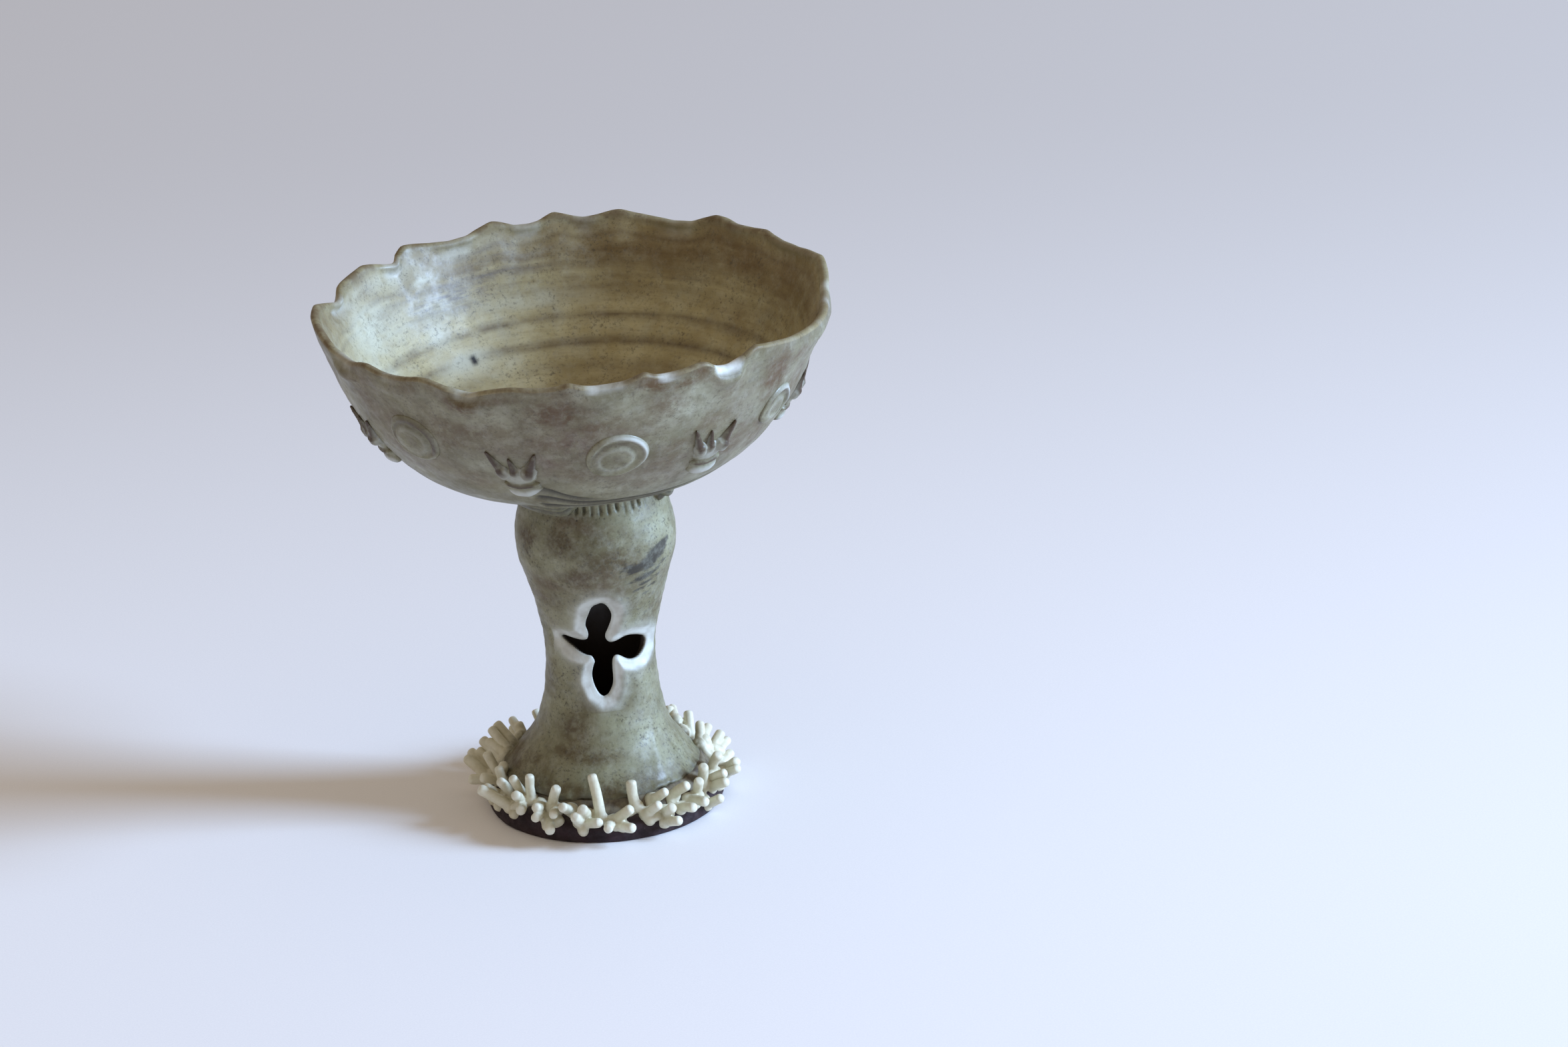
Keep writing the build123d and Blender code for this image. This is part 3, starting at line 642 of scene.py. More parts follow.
# azimuth, height, half length, half width, strength of the dark brush strokes
STREAKS = table(5, """
46 89.2 5 1.5 1  41 87.3 5.5 1.1 1  50 90.8 3.4 .9 .95  28 85.6 4.4 1.1 .95  38 85 3.4 .6 .8
20 86.4 3.4 .7 .6  34 81.8 4.6 .75 .9  44 82.6 3.2 .45 .75  26 81 3.2 .45 .6  38 79.4 3.6 .5 .7
48 80.4 3 .4 .6  32 77.4 3.4 .45 .6  44 77.6 3 .4 .55  52 84.6 3 .5 .6  56 91.5 2.2 .8 .8
40 75.2 3 .4 .5  54 78.4 2.4 .4 .45""")


def stem_shift(z):
    return np.interp(z, *STEM_SHIFT.T)[..., None] * VIEW_RIGHT


def profile_radius(z, profile):
    return np.interp(z, *curve(profile[:, ::-1], 300).T)


def cross_line():
    """Closed outline of the piercing: mm round the stem, height."""
    middle = np.array([0.0, 57.5])
    line = CROSS * [MM_PER_DEGREE, 1] - [0, 0.85]
    line = middle + (line - middle) * [0.965, 0.99]
    # both arms drawn out sideways
    line[:, 0] -= 1.9 * smooth(-7.5, -14.5, line[:, 0])
    line[:, 0] += 1.3 * smooth(7.5, 17, line[:, 0])
    return curve(np.vstack([line, line[:1]]), 420)[:-1]


def line_distance(points, line):
    """Distance to a closed line, negative inside it, and the nearest place on it."""
    best = np.full(len(points), 1e9)
    nearest = np.zeros_like(points)
    inside = np.zeros(len(points), bool)
    for start, end in zip(line, np.roll(line, -1, 0)):
        edge = end - start
        share = np.clip(((points - start) @ edge) / (edge @ edge), 0, 1)
        place = start + share[:, None] * edge
        distance = np.hypot(*(points - place).T)
        closer = distance < best
        best[closer] = distance[closer]
        nearest[closer] = place[closer]
        crosses = (start[1] > points[:, 1]) != (end[1] > points[:, 1])
        # level edges divide by zero but are never crossed
        with np.errstate(divide="ignore", invalid="ignore"):
            x = edge[0] * (points[:, 1] - start[1]) / edge[1] + start[0]
        inside ^= crosses & (points[:, 0] < x)
    return np.where(inside, -best, best), nearest


def pierced_grid():
    """Azimuth, height and distance to the piercing, with masks of edge points and open cells."""
    angles = np.r_[np.arange(-72, -60.5, 1.6), np.arange(165) * 0.8 - 60.0,
                   np.arange(72, 84, 1.6), np.linspace(84, 288, 110)[:-1]]
    heights = np.r_[np.linspace(11.6, 16, 8), np.linspace(16.9, 36, 22),
                    np.arange(36.45, 80.0, 0.42), np.linspace(80.5, 98, 21),
                    np.linspace(98.7, 103.5, 8), np.linspace(104.0, 109.5, 12),
                    np.linspace(110.2, 112.9, 4)]
    angle, z = np.meshgrid(angles, heights, indexing="ij")
    line = cross_line()
    places = np.stack([angle * MM_PER_DEGREE, z], -1)
    window = (angle > -60) & (angle < 72) & (z > 36.5) & (z < 79.8)
    # open the cells whose middle is in the outline
    middles = np.stack([(places[:, :-1, 0] + np.roll(places, -1, 0)[:, :-1, 0]) / 2,
                        (z[:, :-1] + z[:, 1:]) / 2], -1)
    tested = window[:, :-1] & np.roll(window, -1, 0)[:, 1:]
    opened = np.zeros(tested.shape, bool)
    opened[tested] = line_distance(middles[tested], line)[0] < 0
    padded = np.pad(opened.astype(int), ((0, 0), (1, 1)))
    pairs = padded + np.roll(padded, 1, 0)
    count = pairs[:, :-1] + pairs[:, 1:]
    border = (count > 0) & (count < 4)
    # pull their border onto the outline, then even out the grid beside it
    places[border] = line_distance(places[border], line)[1]
    moved = border.copy()
    free = window & (count == 0)
    for k in range(6):
        mean = places.copy()
        mean[:, 1:-1] = (np.roll(places, 1, 0)[:, 1:-1] + np.roll(places, -1, 0)[:, 1:-1]
                         + places[:, 2:] + places[:, :-2]) / 4
        near = np.zeros_like(window)
        near[:, 1:-1] = (moved[:, 2:] | moved[:, :-2] | np.roll(border, 1, 0)[:, 1:-1]
                         | np.roll(border, -1, 0)[:, 1:-1])
        near &= free
        places[near] = 0.5 * places[near] + 0.5 * mean[near]
        if k < 2:
            moved = moved | near
    distance = np.full(angle.shape, 99.0)
    distance[window] = np.maximum(line_distance(places[window], line)[0], 0)
    distance[border] = 0
    return places[..., 0] / MM_PER_DEGREE, places[..., 1], distance, border, opened


def shape_stem(angle, z, distance):
    """Outer and inner radius and score-mark strength."""
    turn = np.radians(angle)
    outer, inner = profile_radius(z, STEM_OUTER), profile_radius(z, STEM_INNER)
    x, y = plan(outer, angle)
    lumps = fractal(x, y, z, 17, 21) * 0.30 + fractal(x, y, z, 5.5, 22) * 0.09
    lines = np.sin(z * 1.7 + 1.5 * np.sin(turn)) * 0.04
    lines = lines + np.sin(z * 0.62 + np.sin(turn * 2)) * 0.07
    outer = outer + (lumps + lines) * smooth(11.5, 16, z)
    outer = outer + 0.45 * bump(z, 12.9, 0.9) * (0.6 + 0.6 * noise(turn * 4, 0, 0, 5))
    # slanting fold in the skirt, to the right of the cross
    fold = np.exp(-((angle - 43 - 0.9 * (z - 24)) / 5.0) ** 2)
    outer = outer + 0.55 * fold * smooth(13, 18, z) * smooth(33, 24, z)
    # upright score marks round the neck, 6.6 degrees apart
    phase = (angle + 1.5 * noise(z * 0.3, angle * 0.03, 0, 8)) / 6.6
    index = np.floor(phase)
    vary = 0.5 + 0.5 * noise(index * 1.7, 3.1, 0, 31)
    mark = bump(phase - index, 0.5, 0.17) * smooth(103.0 + 1.6 * vary, 104.6 + 1.4 * vary, z)
    mark = mark * (0.35 + 0.65 * np.clip(vary * 1.6, 0, 1))
    front = smooth(-30, -20, angle) * smooth(52, 34, angle)
    back = 0.45 * smooth(110, 140, angle) * smooth(250, 215, angle)
    mark = mark * np.clip(front + back, 0, 1)
    outer = outer - 0.95 * mark + 0.25 * smooth(103.4, 105.4, z) * (1 - mark)
    # the wall is dished round the piercing, and its two skins meet at the edge
    wall = outer - inner
    meet = 0.42 * wall
    outer = outer + 0.28 * bump(distance, 3.6, 1.5)
    dish, edge = 1 - smooth(0, 4.4, distance), np.clip(1 - distance / 1.0, 0, 1) ** 2
    outer = outer - (1.25 * dish + (meet - 1.25) * edge)
    inner = inner + (wall - meet) * np.clip(1 - distance / 1.3, 0, 1) ** 2
    return outer, inner, mark


def stem_halo(angle, z, distance):
    """Pale ring round the piercing, with an uneven edge."""
    run = angle * MM_PER_DEGREE
    uneven = distance + 0.75 * noise(run / 4.2, z / 4.2, 0, 91) * smooth(0.6, 2.2, distance)
    uneven = uneven + 0.25 * noise(run / 1.3, z / 1.3, 0, 92) * smooth(1, 3, distance)
    halo = 0.80 * (1 - smooth(1.2, 3.8, uneven)) + 0.30 * bump(uneven, 2.6, 1.1)
    halo = halo + 0.30 * (1 - smooth(2.5, 8.0, uneven))
    return np.clip(halo * (1 - 0.35 * smooth(1.4, 0.2, distance)), 0, 1)


def stem_streaks(angle, z):
    """Brush strokes that rise to the right."""
    paint = np.zeros_like(angle)
    for centre, level, half_length, half_width, strength in STREAKS:
        run, rise = around(angle, centre, STREAK_RADIUS), z - level
        along, over = run * 0.982 + rise * 0.187, -run * 0.187 + rise * 0.982
        stroke = np.exp(-(along / half_length) ** 4 - (over / (half_width * 1.35 + 0.1)) ** 2)
        paint = np.maximum(paint, 1.30 * strength * stroke)
    return paint


def stem_faces(border, opened):
    """Outer and inner quads that share the border of the piercing, and the two end rings."""
    columns, rows = border.shape
    outer = np.arange(columns * rows).reshape(columns, rows)
    inner = np.where(border, outer, outer + columns * rows)
    faces = []
    for i in range(columns):
        k = (i + 1) % columns
        for j in range(rows - 1):
            if not opened[i, j]:
                faces.append((outer[i, j], outer[k, j], outer[k, j + 1], outer[i, j + 1]))
                faces.append((inner[i, j], inner[i, j + 1], inner[k, j + 1], inner[k, j]))
        faces.append((outer[i, -1], outer[k, -1], inner[k, -1], inner[i, -1]))
        faces.append((outer[i, 0], inner[i, 0], inner[k, 0], outer[k, 0]))
    return np.array(faces)


def build_stem(material):
    angle, z, distance, border, opened = pierced_grid()
    outer, inner, mark = shape_stem(angle, z, distance)
    # ragged lower edge of the skirt
    cos, sin = np.cos(np.radians(angle)), np.sin(np.radians(angle))
    ragged = 0.75 * noise(cos * 5, sin * 5, 0, 77) + 0.45 * noise(cos * 14, sin * 14, 0, 78)
    outer[:, 0] -= 0.5
    shift = stem_shift(z)
    skin = polar(outer, angle, z + ragged * smooth(17, 11.6, z)) + shift
    lining = polar(inner, angle, z) + shift
    verts = np.vstack([skin.reshape(-1, 3), lining.reshape(-1, 3)])
    used, faces = np.unique(stem_faces(border, opened), return_inverse=True)

    def both(outside, inside):
        return flat(outside, np.broadcast_to(inside, outside.shape).ravel())[used]

    stains = {name: spots(rows, angle, z, STAIN_RADIUS, ((0.5, 9, 4),))
              for name, rows in STEM_STAINS.items()}
    bevel = 1 - smooth(0, 1.6, distance)
    add_piece("stem_thrown", "stem", "stem_glaze", material, verts[used],
              faces.reshape(-1, 4).tolist(), halo=both(stem_halo(angle, z, distance), 0.2),
              pale=both(stains["pale"], 0), brown=both(1.35 * stains["brown"], 0.4),
              streak=both(stem_streaks(angle, z), 0), mauve=both(1.3 * stains["mauve"], 0),
              mark=both(mark, 0), inside=both(np.zeros(z.shape), 1), hgt=both(z, z),
              bevel=both(bevel, bevel))


# ---------------------------------------------------------------- luting coil
# radius, height round its section
COIL_SECTION = table(2, """
17.2 104.6  21.9 104.3  23.6 104.4  25.2 105.0  26.4 106.2  28.2 108.0  30.4 110.2  32.6 112.6
34.6 114.9  35.2 116.0  34.0 116.6  24.0 115.6  16.4 114.6  16.0 110.0  16.4 106.4""")
# radius, width, depth
COIL_GROOVES = table(3, "26.6 .5 .9  28.6 .52 1  30.7 .52 1  32.8 .45 .8")


def build_coil(material):
    """Coil of clay between stem and bowl, drawn out into a small lug at the front right."""
    section = curve(np.vstack([COIL_SECTION, COIL_SECTION[:1]]), 161)[:-1]
    angle, radius, z = spin(220, *section.T)
    turn = np.radians(angle)
    lug = np.exp(-((angle - 64) / 9.5) ** 4)
    # fullest on the left, and half as full at the back
    left = smooth(-125, -95, angle) * smooth(-6, -26, angle)
    reach = 0.10 + 0.90 * left + 0.45 * bump(np.abs(angle), 180, 45.0)
    outer = smooth(21.5, 23.5, radius) * (z < 115.6)
    wavy = radius + 0.30 * np.sin(turn + 1.0) + 0.16 * np.sin(turn * 5 + radius)
    wavy = wavy + 0.10 * noise(turn * 9, radius, 0, 15)
    groove = np.zeros_like(radius)
    for centre, width, depth in COIL_GROOVES:
        groove = np.maximum(groove, depth * bump(wavy, centre, width, 0.5))
    groove = groove * outer
    drawn = lug * smooth(21.0, 22.5, radius) * (z < 115)
    shaped = np.where(radius > 21.5, 21.5 + (radius - 21.5) * (0.25 + 0.75 * reach), radius)
    shaped = shaped - 0.42 * groove + 0.18 * noise(turn * 6, z * 0.5, 0, 12) * outer
    shaped = shaped + drawn * (4.4 * bump(z, 108.5, 2.8))
    lifted = z + (1 - reach) * (5.2 * smooth(116.5, 104, z)) * smooth(17.5, 21, radius)
    lifted = lifted + 0.55 * groove - drawn * 6.0 * smooth(114.5, 107.0, z)
    columns, rows = z.shape
    faces = []
    for near in range(0, columns * rows, rows):
        far = (near + rows) % (columns * rows)
        faces.extend((near + j, near + (j + 1) % rows, far + (j + 1) % rows, far + j)
                     for j in range(rows))
    brown = lug * smooth(106.6, 104.4, lifted) * smooth(22.5, 24, shaped)
    none = np.zeros(z.shape)
    verts = polar(shaped, angle, lifted) + stem_shift(lifted)
    add_piece("luting_coil", "luting_collar", "stem_glaze", material, verts.reshape(-1, 3), faces,
              halo=none, brown=np.clip(brown + 0.25 * (z < 107) + 0.55 * groove, 0, 1),
              streak=none, mauve=none,
              mark=np.clip(0.25 * smooth(108, 106, z) + 0.75 * groove, 0, 1), inside=none,
              hgt=z, bevel=none)


# ---------------------------------------------------------------- foot slab
# radius, height
FOOT_PROFILE = table(2, """
36.2 0  36.9 .18  37.25 .7  37.35 1.6  37.3 3  37.15 4.2  36.7 5.1  35.6 6.1  34.2 7.6
32.8 9.6  31.6 11.2  30.8 12  27.4 12.1  26.2 11.2  25 8.2  23.6 6.3  20 6""")


def build_foot(material):
    angle, radius, z = spin(360, *curve(FOOT_PROFILE, 84).T)
    x, y = plan(radius, angle)
    push = 0.22 * fractal(x, y, z, 9, 41, 3) + 0.10 * fractal(x, y, z, 1.6, 42)
    # wavy crease round the side
    crease = np.exp(-((z - 2.6 - 0.5 * np.sin(3 * np.radians(angle))) / 0.5) ** 2)
    push = push - 0.16 * crease * smooth(36, 37, radius)
    shaped = radius + push * smooth(0.02, 0.5, z)
    lifted = z + 0.12 * fractal(x, y, z, 4, 43) * smooth(0.5, 3, z)
    lifted = np.maximum(np.where(z < 0.02, 0.0, lifted), 0)
    verts = np.vstack([polar(shaped, angle, lifted).reshape(-1, 3), [[0, 0, 0.0], [0, 0, 6.0]]])
    slip = smooth(6.0, 9.5, z) * (radius > 27)
    add_piece("foot_slab_clay", "foot_slab", "bare_clay", material, verts, lathe_faces(*z.shape),
              slip=flat(slip, 0, 0), hgt=flat(z, 0, 6))


# ---------------------------------------------------------------- coral
# root x, y, z and tip x, y, z of each rod; a semicolon ends a cluster
CORAL = """
-1.3 31.5 9.5 1.6 40.5 11.5  -4.5 34.2 6.0 -4.5 39.0 14.3  -7.2 32.2 8.0 -4.8 40.6 10.0;
-9.6 30.0 9.5 -11.2 37.0 15.2  -13.4 31.8 6.0 -14.4 34.6 14.6  -15.4 29.2 8.0 -21.2 35.9 9.8;
-17.2 26.4 9.5 -20.1 30.7 18.2  -21.3 27.1 6.0 -25.3 36.0 9.7  -22.6 24.1 8.0 -27.8 30.8 13.2;
-23.5 20.9 9.5 -26.1 23.4 17.4  -25.2 19.5 14.0 -27.9 27.5 17.2  -27.6 14.0 13.0 -33.3 19.6 19.4;
-29.7 11.2 13.0 -35.2 16.6 19.2  -35.0 13.1 5.5 -42.2 18.6 11.2  -34.0 12.8 6.6 -39.6 17.7 11.6;
-32.1 12.1 10.0 -38.2 17.1 15.5  -30.5 9.2 12.5 -36.2 15.7 15.2  -36.6 8.9 5.0 -43.8 14.3 10.8;
-34.2 4.8 6.0 -43.5 3.3 7.7  -32.9 2.0 8.0 -37.3 3.2 16.7  -33.6 -1.7 8.7 -32.2 -6.3 16.3;
-31.1 -4.7 9.5 -39.8 -6.8 12.6  -33.5 -8.3 6.0 -38.8 -13.2 12.1  -31.2 -10.7 8.0 -34.2 -10.3 17.4;
-30.7 -13.8 8.7 -34.2 -18.0 15.8  -31.1 -17.4 6.1 -40.9 -17.1 13.4
-26.7 -18.4 10.4 -30.4 -21.2 18.1;
-27.1 -19.4 9.1 -29.9 -26.3 14.2  -26.9 -20.2 8.8 -28.7 -29.0 9.7
-24.6 -21.4 10.1 -24.8 -22.4 19.1;
-21.9 -24.7 9.6 -24.0 -33.0 12.2  -21.9 -27.1 7.2 -24.6 -35.3 9.7  -19.8 -29.2 6.5 -20.1 -38.2 6.0;
-18.6 -27.4 9.5 -16.8 -30.5 17.7  -17.1 -28.6 9.2 -18.8 -37.3 11.1
-13.0 -30.4 9.6 -15.9 -37.7 13.9;
-10.2 -33.9 6.4 -12.2 -40.8 11.8  -8.9 -34.2 6.4 -4.6 -41.6 9.3  -8.1 -32.9 8.5 -9.8 -40.0 13.8
-3.8 -34.4 7.4 -5.8 -31.8 21.7;
-0.6 -35.7 6.0 -2.3 -44.3 7.9  0.2 -35.2 6.7 5.7 -39.5 12.4  0.8 -36.0 5.6 5.7 -43.3 7.1;
7.4 -32.2 9.6 6.3 -31.9 18.5  10.3 -33.4 7.0 14.4 -39.0 12.7  12.8 -29.7 10.5 17.0 -35.8 15.6;
16.0 -32.9 3.8 20.6 -40.0 7.0  16.9 -31.5 6.0 18.5 -38.6 11.1  19.4 -26.7 9.6 24.2 -31.7 15.2;
21.3 -28.7 5.9 25.5 -36.0 9.1  24.3 -24.9 7.2 29.7 -31.9 8.8  27.1 -22.2 6.9 28.0 -26.9 14.5;
30.2 -20.7 3.0 34.8 -26.9 7.7  29.5 -16.1 8.9 29.9 -20.9 16.4  32.2 -15.2 6.1 37.2 -21.3 10.5;
31.8 -13.2 7.7 37.0 -18.7 12.5  33.2 -6.7 8.4 35.6 -11.3 15.8  38.3 -0.9 4.7 41.8 -8.0 8.9;
37.8 1.0 5.0 41.7 -5.2 10.2  30.5 4.4 12.7 31.7 12.2 17.1  37.6 5.9 5.0 41.3 14.1 4.7;
32.1 6.7 13.0 34.6 15.3 14.1  36.8 10.1 7.2 40.8 18.1 7.6  34.1 9.4 7.3 38.8 15.7 11.7;
29.2 17.4 8.2 28.8 23.6 16.4  26.1 17.5 11.7 25.2 26.4 11.9  24.6 21.7 14.0 24.1 30.6 15.2;
21.7 22.9 9.5 23.4 28.2 16.6  21.4 27.0 6.0 26.8 34.3 8.1  18.1 27.6 8.0 22.2 33.8 12.4;
14.9 27.8 9.5 17.5 29.5 17.7  13.5 31.7 6.0 13.9 40.5 7.1  10.2 31.4 8.0 11.2 37.3 16.4;
7.0 30.7 9.5 10.3 39.9 12.9  4.7 34.2 6.0 2.6 41.8 10.6  1.6 33.0 8.0 3.3 36.3 16.4"""
CLUSTERS = [table(6, rows) for rows in CORAL.split(";")]
BRIDGE_RADIUS = 33.2        # links between roots keep at least this far from the axis


def unit(vector):
    return vector / np.linalg.norm(vector)


def coral_rod(root, tip, rng):
    """A slightly bent rod with a ball at its root."""
    radius = 1.66 + rng.uniform(-0.16, 0.14)
    middle = (root + tip) / 2 + rng.uniform(-0.45, 0.45, 3)
    return [tube(root - unit(tip - root) * 1.6, middle + unit(middle - root) * 0.4,
                 radius * 1.06, radius, sides=22, ends=(0.8, 0.55)),
            tube(middle - unit(tip - middle) * 0.6, tip,
                 radius, radius * rng.uniform(0.93, 1.03), sides=26, ends=(0.55, 0.62)),
            ball(root, 2.45 + rng.uniform(-0.2, 0.3), 2.45, 2.2)]


def coral_links(chain, rng):
    """Stout links between neighbouring roots."""
    parts = []
    for start, end in zip(chain, chain[1:]):
        if 0.6 < np.linalg.norm(end - start) < 12:
            middle = (start + end) / 2
            push = max(BRIDGE_RADIUS / math.hypot(middle[0], middle[1]), 1)
            middle = middle * [push, push, 1] + rng.uniform(-0.5, 0.5, 3)
            parts.append(tube(start, middle, 1.9, 1.55, sides=16, ends=(0.9, 0.9)))
            parts.append(tube(middle, end, 1.55, 1.9, sides=16, ends=(0.9, 0.9)))
    return parts


def coral_lump(roots, rng):
    """A lump on the slab near one of the roots."""
    root = roots[int(rng.integers(len(roots)))]
    turn = math.atan2(root[0], -root[1]) + rng.uniform(-0.10, 0.10)
    z = rng.uniform(4.5, 8.5)
    radius = 36.6 - max(0, z - 5.0) * 0.8
    return ball((radius * math.sin(turn), -radius * math.cos(turn), z),
                1.9 + rng.uniform(0, 0.7), 1.9 + rng.uniform(0, 0.7), 1.5 + rng.uniform(0, 0.9))


def build_coral(material):
    for index, rods in enumerate(CLUSTERS):
        rng = np.random.default_rng(900 + index)
        roots, tips = rods[:, :3], rods[:, 3:]
        parts = []
        for root, tip in zip(roots, tips):
            parts += coral_rod(root, tip, rng)
        # joined to the first root of the next cluster, so the ring reads as one growth
        next_root = CLUSTERS[(index + 1) % len(CLUSTERS)][0, :3]
        parts += coral_links([*roots, next_root], rng)
        parts += [coral_lump(roots, rng) for _ in range(2)]
        verts, faces = fuse(f"coral_skin_{index}", parts, 0.30, 5)
        verts = verts + 0.04 * np.stack([fractal(*verts.T, 1.4, 70 + k) for k in range(3)], 1)
        verts[:, 2] = np.maximum(verts[:, 2], 0.25)
        radius = np.hypot(verts[:, 0], verts[:, 1])
        root_gap, tip_gap = (np.linalg.norm(verts[:, None] - ends, axis=2).min(1)
                             for ends in (roots, tips))
        number = f"{index + 1:02d}"
        add_piece(f"coral_cluster_{number}", f"coral_{number}", "porcelain", material, verts,
                  faces, deep=smooth(40.5, 33.5, radius) * smooth(13, 6, verts[:, 2]),
                  rootd=smooth(4.5, 1.8, root_gap), tipd=smooth(3.0, 0.8, tip_gap),
                  stain=smooth(33.5, 30.5, radius))


# ---------------------------------------------------------------- materials
def srgb(*channels):
    """Linear colour from sRGB values of 0 to 255."""
    shares = [channel / 255 for channel in channels]
    return (*(c / 12.92 if c <= 0.04045 else ((c + 0.055) / 1.055) ** 2.4 for c in shares), 1)


class Shader:
    """Node builder. Inputs may be sockets, numbers, attribute names or sRGB triples.

    Band is the input range of a smooth step and out is its output range.
    Grain is the noise's detail and roughness.
    """

    def __init__(self, name):
        self.material = bpy.data.materials.new(name)
        self.material.use_nodes = True
        self.tree = self.material.node_tree
        self.tree.nodes.clear()
        output = self.new("ShaderNodeOutputMaterial")
        self.surface = self.new("ShaderNodeBsdfPrincipled")
        self.put(output.inputs[0], self.surface.outputs[0])
        self.place = self.new("ShaderNodeTexCoord").outputs["Object"]

    def new(self, kind, **settings):
        node = self.tree.nodes.new(kind)
        for key, value in settings.items():
            setattr(node, key, value)
        return node

    def put(self, socket, value):
        if isinstance(value, str):
            value = self.new("ShaderNodeAttribute", attribute_type="GEOMETRY",
                             attribute_name=value).outputs["Fac"]
        if isinstance(value, bpy.types.NodeSocket):
            self.tree.links.new(value, socket)
        elif isinstance(value, tuple) and len(value) == 3:
            socket.default_value = srgb(*value)
        else:
            socket.default_value = value

    def math(self, operation, first, second, clamp=False):
        node = self.new("ShaderNodeMath", operation=operation, use_clamp=clamp)
        self.put(node.inputs[0], first)
        self.put(node.inputs[1], second)
        return node.outputs[0]

    def add(self, first, second):
        return self.math("ADD", first, second)

    def times(self, mask, *factors, clamp=False):
        """Product; clamp holds the first step of it to 0..1."""
        for factor in factors:
            mask = self.math("MULTIPLY", mask, factor, clamp)
            clamp = False
        return mask

    def ramp(self, value, band, out=(0.0, 1.0)):
        node = self.new("ShaderNodeMapRange", interpolation_type="SMOOTHSTEP")
        self.put(node.inputs["Value"], value)
        for key, number in zip(("From Min", "From Max", "To Min", "To Max"), (*band, *out)):
            node.inputs[key].default_value = number
        return node.outputs[0]

    def mix(self, mask, first, second, mode="MIX"):
        node = self.new("ShaderNodeMix", data_type="RGBA", blend_type=mode)
        for index, value in ((0, mask), (6, first), (7, second)):
            self.put(node.inputs[index], value)
        return node.outputs[2]

    def tint(self, base, colour, *masks, amount=None, clamp=False):
        """Lay a colour over the base where all the masks agree."""
        if amount is not None:
            masks += (amount,)
        return self.mix(self.times(*masks, clamp=clamp), base, colour)

    def stretched(self, scale, tilt=(0, 0, 0)):
        node = self.new("ShaderNodeMapping")
        self.put(node.inputs[0], self.place)
        node.inputs["Scale"].default_value = scale
        node.inputs["Rotation"].default_value = tilt
        return node.outputs[0]

    def noise(self, size, grain=(3, 0.55), place=None, warp=0.0, seed=0.0):
        node = self.new("ShaderNodeTexNoise", noise_dimensions="4D")
        self.put(node.inputs["Vector"], place or self.place)
        for key, number in (("W", seed), ("Scale", 1000.0 / size), ("Detail", grain[0]),
                            ("Roughness", grain[1]), ("Distortion", warp)):
            node.inputs[key].default_value = number
        return node.outputs[0]

    def cloud(self, size, band, out=(0.0, 1.0), **settings):
        return self.ramp(self.noise(size, **settings), band, out)

    def specks(self, size, band, seed=0.0):
        """Round specks: 1 inside, 0 outside."""
        node = self.new("ShaderNodeTexVoronoi", voronoi_dimensions="4D")
        self.put(node.inputs["Vector"], self.place)
        node.inputs["W"].default_value = seed
        node.inputs["Scale"].default_value = 1000.0 / size
        return self.ramp(node.outputs["Distance"], band, (1.0, 0.0))

    def finish(self, colour, rough, height, strength, depth, specular=0.5):
        self.put(self.surface.inputs["Base Color"], colour)
        self.put(self.surface.inputs["Roughness"], rough)
        self.surface.inputs["Specular IOR Level"].default_value = specular
        node = self.new("ShaderNodeBump")
        node.inputs["Strength"].default_value = strength
        node.inputs["Distance"].default_value = depth * MM
        self.put(node.inputs["Height"], height)
        self.put(self.surface.inputs["Normal"], node.outputs[0])
        return self.material


def ash_ground(mat, pale, grey, olive, brown, mauve, seed=0.0):
    """Pale ash glaze with grey, olive, mauve and brown clouds."""
    tone = mat.mix(mat.cloud(size=11, band=(.38, .66), grain=(4, .6), seed=seed), pale, grey)
    tone = mat.tint(tone, olive, mat.cloud(size=15, band=(.50, .72), grain=(4, .62), warp=.6,
                                           seed=seed + 3), amount=.75)
    tone = mat.tint(tone, mauve, mat.cloud(size=19, band=(.52, .74), grain=(3, .6), warp=.4,
                                           seed=seed + 7), amount=.60)
    return mat.tint(tone, brown, mat.cloud(size=8, band=(.58, .76), grain=(5, .65), warp=.8,
                                           seed=seed + 11), amount=.55)


def freckle(mat, tone, dark=(74, 64, 46), light=(196, 196, 182), seed=1.0, gain=.8):
    """Fine dark grain, light mottling and three sizes of round specks."""
    fine = mat.cloud(size=.95, band=(.50, .68), grain=(3, .7), seed=seed)
    region = mat.cloud(size=9, band=(.34, .64), out=(.30, 1), grain=(3, .6), seed=seed + 2)
    tone = mat.tint(tone, dark, fine, region, amount=.80 * gain)
    mottle = mat.cloud(size=3.4, band=(.42, .70), grain=(5, .72), seed=seed + 5)
    tone = mat.tint(tone, light, mottle, amount=.20 * gain)
    tone = mat.tint(tone, (38, 30, 24), mat.specks(size=5.2, band=(.045, .075), seed=seed + 1),
                    mat.cloud(size=14, band=(.42, .56), grain=(2, .55), seed=seed + 9),
                    amount=.85)
    tone = mat.tint(tone, (52, 42, 32), mat.specks(size=2.3, band=(.08, .15), seed=seed + 4),
                    region, amount=.50)
    return mat.tint(tone, (60, 50, 38), mat.specks(size=1.4, band=(.10, .20), seed=seed + 12),
                    region, amount=.30)


